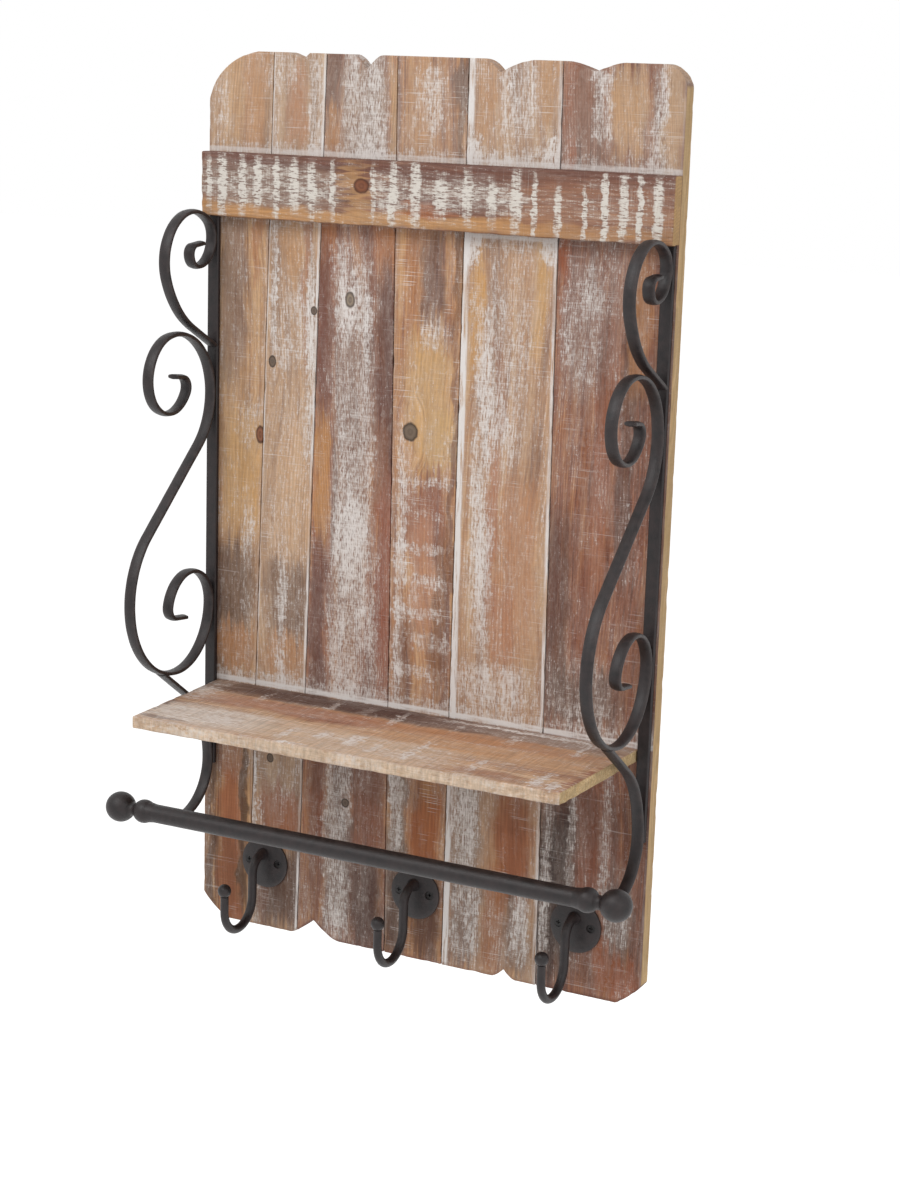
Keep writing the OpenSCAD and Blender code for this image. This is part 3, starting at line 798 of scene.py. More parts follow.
def dents(points: np.ndarray, cell: Sequence[float], seed: float) -> np.ndarray:
    """Smooth noise on points, from about -1 to 1.

    Args:
        points: Places in millimetres.
        cell: Size of a dent along each axis.
        seed: Shifts the pattern.

    Returns:
        One value for each point.
    """
    scaled = points / np.array(cell) + seed
    return np.array([noise.noise(Vector(p)) for p in scaled.tolist()])


def chips(points: np.ndarray, cell: Sequence[float], seed: float, lift: float,
          near: np.ndarray, reach: float) -> np.ndarray:
    """Finds the chips in a board's edges.

    Args:
        points: Places in millimetres.
        cell: Size of a chip along each axis.
        seed: Shifts the pattern.
        lift: How many chips there are; with 0 they cover half of the edge.
        near: Distance of each point from the nearest edge.
        reach: How far they go into the face.

    Returns:
        Their depth, from 0 to about 1.
    """
    return np.clip(dents(points, cell, seed) + lift, 0, 1) * np.exp(-near / reach)


def on_face(x: np.ndarray, off: np.ndarray, z: np.ndarray) -> np.ndarray:
    """Puts points in front of the planks' face.

    Args:
        x: Places across the board in millimetres.
        off: Distances from the face.
        z: Heights.

    Returns:
        The points in the row's frame.
    """
    return np.stack([x, -PLANK_FACE - off, z], axis=1)


def sawn(facing: np.ndarray) -> np.ndarray:
    """Returns how bare a point is by how far it faces to a cut side."""
    return np.clip(np.abs(facing) * 1.5 - 0.4, 0, 1)


@dataclass(frozen=True)
class WornOutline:
    """The worn outline of the board, as heights over its width in millimetres.

    Attributes:
        width: Width of the board.
        top: Height of its top over the keyholes.
        foot: Height of its foot.
        seams: Place of each seam at the top and at the foot, as shares of the width.
        top_notches: Share of the width, depth and reach to each side of every notch.
        foot_notches: The same at the foot.
        notch_power: How hollow the sides of a notch are.
        top_corners: Width and height of the left and the right corner.
        foot_corners: The same at the foot.
        top_chamfer: How much a corner is a straight cut, from 0 for a round to 1.
        foot_chamfer: The same at the foot.
    """

    width: float = 430.0
    top: float = 110.0
    foot: float = -657.0
    seams: tuple[Point2, ...] = ((0.146, 0.111), (0.263, 0.229), (0.416, 0.435),
                                 (0.566, 0.566), (0.757, 0.776))
    top_notches: tuple[tuple[float, ...], ...] = (
        (0.212, 6, 16, 6), (0.35, 12, 13, 14), (0.63, 10.3, 14, 29), (0.821, 7.5, 28, 25))
    foot_notches: tuple[tuple[float, ...], ...] = ((0.267, 16, 23, 25), (0.705, 8, 11, 10))
    notch_power: float = 1.5
    top_corners: tuple[Point2, Point2] = ((47, 45), (18, 19))
    foot_corners: tuple[Point2, Point2] = ((24, 22), (22, 20))
    top_chamfer: float = 0.15
    foot_chamfer: float = 0.75

    def _dip(self, x: np.ndarray, notches: Sequence[Sequence[float]],
             corners: tuple[Point2, Point2], chamfer: float) -> np.ndarray:
        """Finds how far notches and corners cut in.

        Args:
            x: Places across the board.
            notches: Share of the width, depth and reach to each side of every notch.
            corners: Width and height of both corners.
            chamfer: How much a corner is a straight cut, from 0 for a round to 1.

        Returns:
            The depth of the cut at each place.
        """
        dip = np.zeros_like(x)
        for share, depth, left, right in notches:
            off = x - (share - 0.5) * self.width
            reach = np.where(off < 0, left, right)
            dip += depth * np.clip(1 - np.abs(off) / reach, 0, 1) ** self.notch_power
        for sign, (w, h) in zip((-1, 1), corners):
            over = np.clip((sign * x - (self.width / 2 - w)) / w, 0, 1)
            dip += h * (chamfer * over + (1 - chamfer) * (1 - np.sqrt(1 - over ** 2)))
        return dip

    def top_at(self, x: np.ndarray) -> np.ndarray:
        """Returns the height of the top edge."""
        return self.top - self._dip(x, self.top_notches, self.top_corners, self.top_chamfer)

    def foot_at(self, x: np.ndarray) -> np.ndarray:
        """Returns the height of the bottom edge."""
        return self.foot + self._dip(x, self.foot_notches, self.foot_corners,
                                     self.foot_chamfer)

    def seam_at(self, number: int, z: np.ndarray) -> np.ndarray:
        """Finds where a seam is.

        Args:
            number: Its number from the left; 0 and 6 are the board's sides.
            z: Heights.

        Returns:
            Its place across the board at each height.
        """
        if number == 0:
            return np.full_like(z, -self.width / 2)
        if number > len(self.seams):
            return np.full_like(z, self.width / 2)
        at_top, at_foot = self.seams[number - 1]
        share = (self.top - z) / (self.top - self.foot)
        return (at_top + (at_foot - at_top) * share - 0.5) * self.width


@dataclass
class PlankBoard:
    """The board of six old planks.

    Attributes:
        outline: Its worn outline.
        thickness: Thickness of a plank in millimetres.
        gap: Open gap between two planks.
        edge: Radius of a plank's worn edges.
        grid: Spacing of a plank's mesh.
        hollow: Depth of the hollows on its face.
        chip: Depth of the chips in its edges.
        saw: Depth of the saw marks.
    """

    outline: WornOutline = field(default_factory=WornOutline)
    thickness: float = 14.0
    gap: float = 0.6
    edge: float = 0.7
    grid: tuple[float, float, float] = (2.6, 4.0, 3.0)
    hollow: float = 0.2
    chip: float = 1.2
    saw: float = 0.06

    def finishes(self) -> list[ReclaimedPine]:
        """Finishes the planks one by one, as the old boards differ.

        Returns:
            The finish of each plank from left to right.
        """
        shared = patches(
            # The two bands of dark ink across all planks, at -500 and -610, are painted shade
            # under the shelf and the rail, darker towards the foot
            (0, 66, 600, 50, 0.22, "#AB9C8E"), (0, -610, 600, 44, 0.3, "#4A3830"),
            (0, -500, 600, 26, 0.25, "#4A3830"), (0, 30, 600, 7, 0.22), (0, 40, 600, 22, 0.08),
            (0, -27, 600, 4, 0.16), (0, -428, 600, 7, 0.26), (0, -418, 600, 18, 0.1)
        )
        sill = ((-431.6, 3.4, 0.95), (29.0, 3.0, 0.6))

        def old(number: int, seed: float, tones: tuple[str, str, str], rows: Sequence[Row],
                **more: object) -> ReclaimedPine:
            """Returns the finish of one plank with the bands that cross all of them."""
            return ReclaimedPine(f"old_pine_{number}", Grain.UPRIGHT, seed, tones,
                                 patches(*rows) + shared, **({"joints": sill} | more))

        return [
            old(1, 1.3, ("#7E5A44", "#AF855F", "#C89F75"), (
                (-190, -85, 13, 80, 0.65, "#7A6056"), (-166, -46, 5, 34, 0.6, "#9C6442"),
                (-171, 66, 13, 60, 0.7, "#B98253"), (-178, -245, 20, 60, 0.75, "#C89C66"),
                (-203, -250, 5, 90, 0.5, "#A87A54"), (-192, -348, 30, 44, 0.8, "#563F34"),
                (-188, -402, 26, 18, 0.75, "#B27A4C"), (-204, -480, 9, 40, 0.6, "#6C4634"),
                (-188, -590, 13, 110, 0.85, "#95583A"), (-174, -560, 4, 100, 0.8, "#4C3528"),
                (-208, -590, 4, 80, 0.8, "#55392B"), (-160, -600, 6, 60, 0.7, "#7A4C36"),
                (-205, 70, 12, 34, 0.24), (-162, 92, 8, 22, 0.16), (-184, 66, 34, 50, -0.1),
                (-172, -205, 12, 22, 0.2), (-172, -330, 6, 60, 0.24), (-184, -600, 24, 90, -0.3)
            ), rims=(0.0, 0.2), kerf=0.35, ring_mm=3.2,
                knots=(Knot((-161, -211), (4.2, 7.5), "#6B4030", "#8A5A40", "#472B20"),)),
            old(2, 5.1, ("#8C6D58", "#B48E6D", "#CCAC8C"), (
                (-130, 66, 11, 34, 0.75, "#B27448"), (-132, -25, 10, 60, 0.65, "#B68452"),
                (-118, -60, 4, 90, 0.6, "#9A6244"), (-126, -260, 18, 60, 0.5, "#C69E78"),
                (-130, -352, 26, 40, 0.72, "#5C453B"), (-135, -405, 22, 20, 0.65, "#B27E52"),
                (-136, -545, 24, 28, 0.85, "#93593D"), (-132, -620, 34, 46, 0.9, "#5C4238"),
                (-152, -600, 5, 60, 0.6, "#7C4E38"), (-142, 94, 13, 18, 0.26),
                (-130, 66, 30, 50, -0.08), (-112, 66, 7, 50, 0.36), (-126, -118, 20, 34, 0.2),
                (-149, -70, 3.4, 100, 0.34), (-113, -120, 4, 90, 0.28), (-138, -380, 5, 60, 0.3),
                (-163, -540, 2.2, 60, 0.5), (-136, -600, 20, 60, -0.26)
            ), wash=0.38, rims=(0.9, 1.5), rim_mm=(2.0, 3.0), kerf=0.5, raw="#C6AC86",
                knots=(Knot((-150, -147), (3.5, 5)), Knot((-110, -101), (3, 3.5)),
                       Knot((-146.8, -498.8), (3.4, 4)))),
            old(3, 9.7, ("#67443A", "#8E5E48", "#B6835C"), (
                (-97, 90, 8, 34, 0.8, "#6C4A3C"), (-96, 44, 8, 22, 0.75, "#B67C46"),
                (-34, 60, 9, 50, 0.8, "#BC9266"), (-66, 60, 22, 60, 0.6, "#8E7A6C"),
                (-100, -30, 8, 60, 0.65, "#B4764A"), (-99, -125, 9, 100, 0.9, "#6C4338"),
                (-99, -245, 9, 60, 0.75, "#B98550"), (-102, -380, 9, 90, 0.8, "#603E38"),
                (-38, -20, 14, 50, 0.8, "#B2764A"), (-39, -150, 14, 100, 0.9, "#5E3F38"),
                (-42, -240, 9, 50, 0.5, "#9A6A50"), (-36, -330, 9, 110, 0.75, "#8A5240"),
                (-72, -230, 18, 180, 0.55, "#7C6A60"), (-45, -520, 14, 60, 0.85, "#7E4E3A"),
                (-100, -540, 9, 80, 0.75, "#774936"), (-76, -560, 14, 90, 0.75, "#6E6058"),
                (-48, -620, 17, 50, 0.9, "#503730"), (-64, 70, 22, 56, 0.42),
                (-72, -75, 22, 50, 0.3), (-70, -200, 21, 130, 0.37), (-68, -350, 27, 90, 0.42),
                (-77, -570, 15, 110, 0.42)
            ), wash=0.24, kerf=0.3, ring_mm=2.0, ring_depth=0.28, raw="#D0B892",
                knots=(Knot((-75.5, -89.4), (4.4, 6.5), "#6E6055", "#94836F", "#544A40"),
                       Knot((-70, -527.2), (3.6, 4)))),
            old(4, 13.9, ("#7C5446", "#AE7C56", "#CA9E72"), (
                (-12, 66, 16, 44, 0.75, "#BC8C60"), (22, 92, 7, 22, 0.85, "#62443A"),
                (-14, -60, 8, 50, 0.6, "#A36F4C"), (2, -70, 12, 40, 0.8, "#685049"),
                (0, -165, 22, 60, 0.85, "#C8A06E"), (16, -200, 16, 26, 0.75, "#C8A270"),
                (0, -265, 24, 36, 0.75, "#885646"), (-2, -320, 12, 60, 0.65, "#B8866A"),
                (16, -350, 8, 80, 0.65, "#73503F"), (-16, -400, 10, 60, 0.55, "#6C4C40"),
                (-18, -520, 9, 60, 0.75, "#6A5A50"), (-16, -610, 12, 60, 0.85, "#4E3A33"),
                (10, -545, 16, 34, 0.85, "#995C3A"), (12, -620, 14, 40, 0.85, "#64463A"),
                (24, 20, 4, 130, 0.75, "#5C3C2D"), (25, -300, 3, 200, 0.65, "#64413A"),
                (-4, 76, 18, 26, 0.34), (-22, -300, 6, 110, 0.42), (6, -112, 14, 14, 0.34),
                (0, -236, 28, 4, 0.3), (4, -262, 24, 3, 0.24), (-4, -292, 26, 4, 0.36),
                (4, -320, 22, 6, 0.34), (-6, -348, 26, 5, 0.4), (8, -372, 20, 8, 0.38),
                (-4, -398, 26, 6, 0.34), (-20, -530, 7, 50, 0.44), (10, -570, 16, 80, -0.2)
            ), wash=0.26, rims=(0.15, 0.0), kerf=0.9, raw="#C8AD84",
                knots=(Knot((-15.7, -194.6), (6.8, 7.6), "#5C5046", "#6F6155", "#352C26"),)),
            old(5, 17.2, ("#8C6852", "#B38967", "#C6A482"), (
                (45, 76, 8, 34, 0.8, "#B57F4C"), (42, -85, 6, 60, 0.75, "#C89452"),
                (99, 86, 8, 26, 0.8, "#B8834E"), (100, -72, 6, 60, 0.65, "#C2945A"),
                (66, -150, 6, 50, 0.55, "#8A5A48"), (62, -270, 6, 80, 0.65, "#A4684C"),
                (86, -300, 20, 80, 0.65, "#B9825C"), (72, -350, 14, 40, 0.5, "#A66C4E"),
                (48, -530, 14, 60, 0.7, "#75655A"), (92, -540, 20, 50, 0.85, "#94593C"),
                (50, -610, 14, 40, 0.75, "#66524A"), (76, -610, 9, 50, 0.8, "#A8693F"),
                (100, -610, 10, 40, 0.7, "#6C564C"), (72, 80, 17, 34, 0.3), (70, 34, 42, 9, 0.24),
                (36, 36, 8, 14, 0.5), (106, 38, 8, 14, 0.5), (36, -38, 9, 14, 0.6),
                (106, -38, 8, 12, 0.55), (70, -33, 42, 6, 0.16), (70, -130, 20, 90, 0.28),
                (50, -210, 9, 130, 0.4), (56, -330, 8, 70, 0.34), (72, -400, 40, 20, 0.34),
                (46, -525, 14, 55, 0.4), (50, -612, 14, 34, 0.34), (102, -606, 9, 34, 0.4),
                (92, -540, 20, 50, -0.3)
            ), wash=0.33, rims=(3.0, 1.4), rim_mm=(7.0, 3.8), kerf=0.5, ring_mm=2.7,
                joints=(*sill, (-28.0, 4.0, 0.7))),
            old(6, 21.4, ("#603C31", "#865642", "#A97A5A"), (
                (119, 20, 6, 110, 0.8, "#924C28"), (127, 80, 12, 40, 0.8, "#7E4E3A"),
                (168, 72, 16, 40, 0.85, "#C09468"), (205, 70, 10, 50, 0.8, "#C09A74"),
                (136, -90, 20, 70, 0.6, "#7C5E54"), (168, -60, 10, 60, 0.5, "#8C6A5C"),
                (122, -330, 14, 90, 0.8, "#583930"), (150, -350, 10, 70, 0.65, "#784A3C"),
                (158, -230, 9, 90, 0.6, "#94604A"), (178, -180, 7, 130, 0.75, "#563B33"),
                (186, -90, 9, 60, 0.6, "#A97850"), (150, -400, 34, 26, 0.8, "#5E4A42"),
                (132, -570, 20, 90, 0.92, "#3C322F"), (162, -560, 10, 90, 0.8, "#7C4C39"),
                (180, -620, 10, 30, 0.8, "#A55E3A"), (200, -640, 14, 22, 0.8, "#9A5636"),
                (190, -585, 12, 30, 0.8, "#5C4C46"), (136, -100, 20, 56, 0.28),
                (158, -60, 24, 30, 0.2), (146, 78, 9, 30, 0.42), (140, 100, 26, 6, 0.2),
                (194, 66, 8, 45, 0.42), (150, -395, 30, 34, 0.26), (124, -560, 5, 90, 0.4),
                (146, -560, 4, 90, 0.36), (190, -585, 14, 26, 0.36), (176, -510, 5, 60, 0.3)
            ), wash=0.22, rims=(0.0, 0.3), kerf=0.35, ring_mm=2.2, ring_depth=0.26,
                raw="#C3A77F"),
        ]

    def build(self) -> None:
        """Builds and dresses the six planks."""
        for number, finish in enumerate(self.finishes()):
            self._plank(number, finish)

    def _plank(self, number: int, finish: ReclaimedPine) -> None:
        """Builds one plank between its two seams.

        Args:
            number: Its number from the left, from 0.
            finish: Its finish.
        """
        o = self.outline
        height = o.top - o.foot
        middle = np.array([(o.top + o.foot) / 2])
        last = len(o.seams)
        low_gap = 0.0 if number == 0 else self.gap / 2
        high_gap = 0.0 if number == last else self.gap / 2
        width = float(o.seam_at(number + 1, middle)[0] - o.seam_at(number, middle)[0])
        block = RoundedBlock((width / 2, self.thickness / 2, height / 2), self.edge, self.grid)
        points, out, faces = block.build()
        share = (points[:, 0] + width / 2) / width
        z = points[:, 2] + float(middle[0])
        left = o.seam_at(number, z) + low_gap
        right = o.seam_at(number + 1, z) - high_gap
        x = left + share * (right - left)
        foot, top = o.foot_at(x), o.top_at(x)
        rise = (points[:, 2] + height / 2) / height
        z = foot + rise * (top - foot)
        real = on_face(x, -self.thickness / 2 - points[:, 1], z)
        rim_low, rim_high = x - left, right - x
        near = np.minimum(np.minimum(rim_low, rim_high), np.minimum(z - foot, top - z))
        seed = 3.0 + 5.0 * number
        wear = (self.hollow * (1 + dents(real, (28, 40, 150), seed)) * np.clip(near / 3, 0.1, 1)
                + self.saw * (1 + dents(real, (40, 9, 2.6), seed + 80))
                + chips(real, (7, 9, 11), seed + 40, -0.12, near, 1.2) * self.chip)
        real -= out * wear[:, None]
        # The board's outer sides and the planks' backs are bare
        outer = (number == 0) & (out[:, 0] < 0) | (number == last) & (out[:, 0] > 0)
        raw = np.maximum(np.where(outer, sawn(out[:, 0]), 0.0),
                         np.clip(3 * out[:, 1] - 1.6, 0, 1))
        # The stain browns the outline at the foot most, and at the board's sides a little less
        gap = z - foot
        if number == 0:
            gap = np.minimum(gap, rim_low + 0.4)
        if number == last:
            gap = np.minimum(gap, rim_high + 0.8)
        mesh_piece(f"old_plank_{number + 1}", real, faces, finish.make(),
                   [f"plank_{number + 1}"],
                   {"rim_low": rim_low, "rim_high": rim_high, "raw": raw,
                    "scorch": np.clip(1.2 - gap / 1.7, 0, 1)})


@dataclass
class FrontBatten:
    """The thicker batten across the planks.

    Attributes:
        size: Its length, thickness and height in millimetres.
        edge: Radius of its eased edges.
        grid: Spacing of its mesh.
        hollow: Depth of the hollows on its face.
        chip: Depth of the chips in its edges.
        saw: Depth of the saw marks.
    """

    size: tuple[float, float, float] = (430.0, 13.0, 54.0)
    edge: float = 1.6
    grid: tuple[float, float, float] = (2.6, 3.0, 2.4)
    hollow: float = 0.2
    chip: float = 1.5
    saw: float = 0.12

    def finish(self) -> ReclaimedPine:
        """Finishes it dark above and orange below, with the heaviest whitewash.

        Returns:
            Its finish.
        """
        grounds = patches(
            (22, 0, 9, 320, 0.8, "#67443B"), (-21, -60, 7, 230, 0.85, "#B98A5A"),
            (-21, 140, 7, 90, 0.7, "#B0835A"), (0, -66, 26, 12, 0.75, "#B48A60"),
            (2, -150, 18, 76, 0.75, "#7A6052"), (2, 20, 18, 70, 0.75, "#6B4C43"),
            (-12, 0, 6, 22, 0.6, "#A4633C"), (2, 150, 22, 70, 0.5, "#8E6450"),
            (3, -150, 19, 72, 0.42), (1, -34, 17, 18, 0.46), (1, 32, 13, 56, 0.44),
            (0, 150, 24, 76, 0.12)
        )
        bars = patches(
            (0, -207, 25, 2.76, 0.45), (-2, -194, 30, 4.6, 0.6), (0, -174, 27.5, 4.14, 0.5),
            (2, -159, 25, 3.91, 0.5), (-2, -141, 30, 2.99, 0.6), (4, -124, 25, 4.83, 0.5),
            (0, -107, 25, 4.37, 0.5), (3, -87, 27.5, 2.99, 0.5), (2, -49, 27.5, 2.3, 0.4),
            (1, -31, 30, 3.91, 0.6), (3, -10, 30, 5.06, 0.65), (0, 13, 20, 5.75, 0.4),
            (0, 37, 25, 4.6, 0.45), (-3, 59, 22.5, 4.6, 0.45), (1, 80, 30, 5.06, 0.6),
            (-3, 96, 28.75, 2.53, 0.7), (-6, 116, 23.75, 3.22, 0.65), (-7, 139, 22.5, 2.07, 0.65),
            (-1, 156, 30, 3.22, 0.8), (0, 172, 28.75, 4.14, 0.7), (0, 186, 31.25, 2.76, 0.75),
            (1, 201, 30, 4.14, 0.7)
        )
        return ReclaimedPine(
            "batten_pine", Grain.LEVEL, 27.5, ("#60423A", "#8A624E", "#AB8163"),
            grounds + bars,
            (Knot((5.5, -60), (5.8, 7.0), "#6A3E2C", "#7E4C34", "#4E2E22"),), wash=0.1,
            kerf=0.25, ring_mm=3.4, raw="#B89468", body=0.9, chalk="#DCD6CD", gaps=0.75,
            ragged=(1.5, 1.6))

    def build(self) -> None:
        """Builds and dresses the batten."""
        length, depth, height = self.size
        block = RoundedBlock((length / 2, depth / 2, height / 2), self.edge, self.grid)
        points, out, faces = block.build()
        real = on_face(points[:, 0], depth / 2 - points[:, 1], points[:, 2])
        near = np.minimum(height / 2 - np.abs(points[:, 2]), length / 2 - np.abs(points[:, 0]))
        front = np.clip(-out[:, 1], 0, 1)
        wear = (self.hollow * (1 + dents(real, (120, 30, 20), 30.0))
                + chips(real, (13, 6, 6), 60.0, 0.05, near, 1.8) * self.chip
                + self.saw * (1 + dents(real, (2.2, 9, 30), 90.0)) * front)
        real -= out * np.where(out[:, 1] > 0.5, 0.0, wear)[:, None]
        mesh_piece("old_batten", real, faces, self.finish().make(), ["front_batten"],
                   {"raw": sawn(out[:, 0]), "scorch": np.clip(1.1 - near / 1.6, 0, 1) * 0.7})


@dataclass
class ShelfBoard:
    """The narrow shelf, which draws in a little towards the front.

    Attributes:
        half: Half its length at the planks in millimetres.
        taper: How much each end draws in.
        depth: Its depth.
        thickness: Its thickness.
        top: Height of its top.
        edge: Radius of its eased edges.
        grid: Spacing of its mesh.
        hollow: Depth of the hollows on its face.
        chip: Depth of the chips in its edges.
        saw: Depth of the saw marks.
    """

    half: float = 202.0
    taper: float = 5.5
    depth: float = 142.0
    thickness: float = 11.0
    top: float = -434.0
    edge: float = 1.5
    grid: tuple[float, float, float] = (2.6, 2.8, 3.0)
    hollow: float = 0.2
    chip: float = 1.4
    saw: float = 0.08

    def finish(self) -> ReclaimedPine:
        """Finishes it dark at the planks, from a stain and painted shade in the corner, orange in
        the middle and beige in front.

        Returns:
            Its finish.
        """
        grounds = patches(
            # The two dark patches at the planks are a stain with painted shade of the corner
            # between shelf and planks
            (-41, -60, 21, 160, 0.94, "#4C342F"), (-40, 120, 19, 110, 0.8, "#735A50"),
            (-74, 60, 14, 150, 0.8, "#B07C56"), (-78, -90, 16, 96, 0.75, "#9C664C"),
            (-92, -60, 8, 34, 0.6, "#8A5138"), (-98, 100, 16, 110, 0.75, "#BE9068"),
            (-136, -146, 30, 74, 0.8, "#CCBDAE"), (-142, 0, 30, 84, 0.75, "#CAB096"),
            (-152, 130, 10, 34, 0.6, "#8A5840"), (-130, 202, 44, 8, 0.9, "#8E4E30"),
            (-158, -178, 3, 26, 0.85, "#6E5244"), (-170, 0, 5, 240, 0.8, "#D2BCA6"),
            (-170, 0, 5, 240, 0.2), (-90, -203, 90, 5, 0.9, "#55403A"), (-136, -150, 28, 56, 0.34),
            (-62, -190, 34, 12, 0.34), (-40, 120, 16, 70, 0.16), (-40, -60, 20, 130, -0.16),
            (-70, 0, 12, 190, -0.08), (-134, 20, 26, 90, 0.14)
        )
        streaks = patches(
            (-54, -134, 18, 3.6, 0.45), (-50, -70, 16, 3.2, 0.45), (-56, -5, 22, 3.4, 0.5),
            (-46, -38, 12, 4, 0.3), (-60, -26, 12, 2, 0.3), (-52, 50, 16, 3.2, 0.35),
            (-58, 104, 16, 4, 0.35), (-60, 165, 18, 3.4, 0.4), (-140, -64, 18, 3.6, 0.5),
            (-130, -34, 10, 4.4, 0.45), (-130, -5, 16, 7, 0.5), (-126, 50, 30, 2.8, 0.45),
            (-138, 18, 14, 3.4, 0.35), (-138, 110, 16, 4, 0.35), (-144, 170, 20, 6, 0.6),
            # The whitewash streak at -163, -46 on the front edge is a painted highlight on the
            # eased edge
            (-154, 184, 12, 4, 0.5), (-163, -46, 2.4, 15, 0.7), (-34, 95, 2.4, 75, 0.5)
        )
        return ReclaimedPine(
            "shelf_pine", Grain.SHELF, 33.3, ("#94694F", "#B8906E", "#CFB092"),
            grounds + streaks, kerf=0.5, ring_mm=3.8, raw="#CDB58C", body=0.8, cross=0.46,
            saw_mm=(34.0, 2.2))

    def build(self) -> None:
        """Builds and dresses the shelf."""
        block = RoundedBlock((self.half, self.depth / 2, self.thickness / 2), self.edge,
                             self.grid)
        points, out, faces = block.build()
        forward = (self.depth / 2 - points[:, 1]) / self.depth
        x = points[:, 0] * (1 - forward * self.taper / self.half)
        real = on_face(x, self.depth / 2 - points[:, 1],
                       points[:, 2] + self.top - self.thickness / 2)
        near = np.minimum(points[:, 1] + self.depth / 2, self.half - np.abs(points[:, 0]))
        wear = (self.hollow * (1 + dents(real, (110, 30, 20), 35.0))
                + chips(real, (12, 8, 6), 70.0, 0.05, near, 1.8) * self.chip
                + self.saw * (1 + dents(real, (2.4, 40, 9), 95.0)) * np.clip(out[:, 2], 0, 1))
        real -= out * np.where(out[:, 1] > 0.5, 0.0, wear)[:, None]
        front = np.clip(-out[:, 1], 0, 1)
        mesh_piece("old_shelf", real, faces, self.finish().make(), ["shelf_board"],
                   {"raw": sawn(np.maximum(np.abs(out[:, 0]), 0.4 * front)),
                    "scorch": np.clip(1.1 - near / 1.8, 0, 1) * (0.6 - 0.5 * front)})


def stride(step: Step, at: Frame2) -> Frame2:
    """Takes one step of a bent bar.

    Args:
        step: Radius and turn of a bend, or length and 0 of a straight run.
        at: Where it starts: distance, height and heading in degrees.

    Returns:
        Where it ends.
    """
    size, turn = step
    u, z, head = at
    a = math.radians(head)
    if turn == 0:
        return (u + size * math.cos(a), z + size * math.sin(a), head)
    side = math.copysign(1, turn)
    b = math.radians(head + turn)
    hub = (u - side * size * math.sin(a), z + side * size * math.cos(a))
    return (hub[0] + side * size * math.sin(b), hub[1] - side * size * math.cos(b), head + turn)


def walk(steps: Sequence[Step], start: Frame2, spacing: float = 2.0) -> list[Frame2]:
    """Walks along a run of steps.

    Args:
        steps: The steps.
        start: Where the run starts.
        spacing: Greatest distance between two frames in millimetres.

    Returns:
        Frames along the run, with its start and its end.
    """
    way = [start]
    for size, turn in steps:
        length = abs(math.radians(turn)) * size if turn else size
        parts = max(1, math.ceil(length / spacing), math.ceil(abs(turn) / 4))
        base = way[-1]
        for k in range(1, parts + 1):
            piece = (size, turn * k / parts) if turn else (size * k / parts, 0.0)
            way.append(stride(piece, base))
    return way


def both_ways(up: Sequence[Step], down: Sequence[Step], at: Point2) -> list[Frame2]:
    """Frames of a bar that leaves one touching place upwards and downwards.

    Args:
        up: Steps upwards.
        down: Steps downwards.
        at: The touching place.

    Returns:
        The frames from its lower end to its upper end.
    """
    low = walk(down, (at[0], at[1], -90.0))
    return [(u, z, h + 180) for u, z, h in low[:0:-1]] + walk(up, (at[0], at[1], 90.0))


@dataclass(frozen=True)
class FlatBar:
    """Hot-rolled flat bar, bent on edge.

    Attributes:
        width: Its width in millimetres.
        thickness: Its thickness.
        edge: Radius that rolling leaves on its edges.
        crown: How much its wide faces stand out in the middle.
    """

    width: float = 10.5
    thickness: float = 4.5
    edge: float = 1.5
    crown: float = 0.6

    def section(self) -> tuple[np.ndarray, np.ndarray]:
        """Builds the section.

        Returns:
            Its points as thickness and width, and how much each lies on a rubbed edge.
        """
        t, w, r = self.thickness / 2, self.width / 2, self.edge
        points: list[Point2] = []
        worn: list[float] = []
        for st, sw, first in ((1, -1, -90), (1, 1, 0), (-1, 1, 90), (-1, -1, 180)):
            for k in range(4):
                a = math.radians(first + 30 * k)
                points.append((st * (t - r - self.crown) + r * math.cos(a),
                               sw * (w - r) + r * math.sin(a)))
                worn.append(1.0 if k in (1, 2) else 0.5)
            if st == sw:
                continue
            for share in (-0.66, -0.33, 0.0, 0.33, 0.66):
                points.append((st * (t - self.crown * share ** 2), st * share * (w - r)))
                worn.append(0.0)
        return np.array(points), np.array(worn)


def sweep(way: Sequence[Frame2], section: np.ndarray, scale: np.ndarray | None = None
          ) -> tuple[np.ndarray, list[list[int]]]:
    """Sweeps a section along frames in the plane of a bracket.

    Args:
        way: The frames.
        section: Points of the section, as thickness and width.
        scale: Size of the section at each frame, 1 where it is left out.

    Returns:
        Points as (width, distance, height), and faces with closed ends.
    """
    n, rings = len(section), len(way)
    scale = np.ones(rings) if scale is None else scale
    frames = np.array(way)
    a = np.radians(frames[:, 2])
    q = section[None, :, :] * scale[:, None, None]
    u = frames[:, 0, None] - q[:, :, 0] * np.sin(a)[:, None]
    z = frames[:, 1, None] + q[:, :, 0] * np.cos(a)[:, None]
    points = np.stack([q[:, :, 1], u, z], axis=2).reshape(-1, 3)
    faces = [[r * n + j, r * n + (j + 1) % n, (r + 1) * n + (j + 1) % n, (r + 1) * n + j]
             for r in range(rings - 1) for j in range(n)]
    faces.append(list(range(n - 1, -1, -1)))
    faces.append([(rings - 1) * n + j for j in range(n)])
    return points, faces


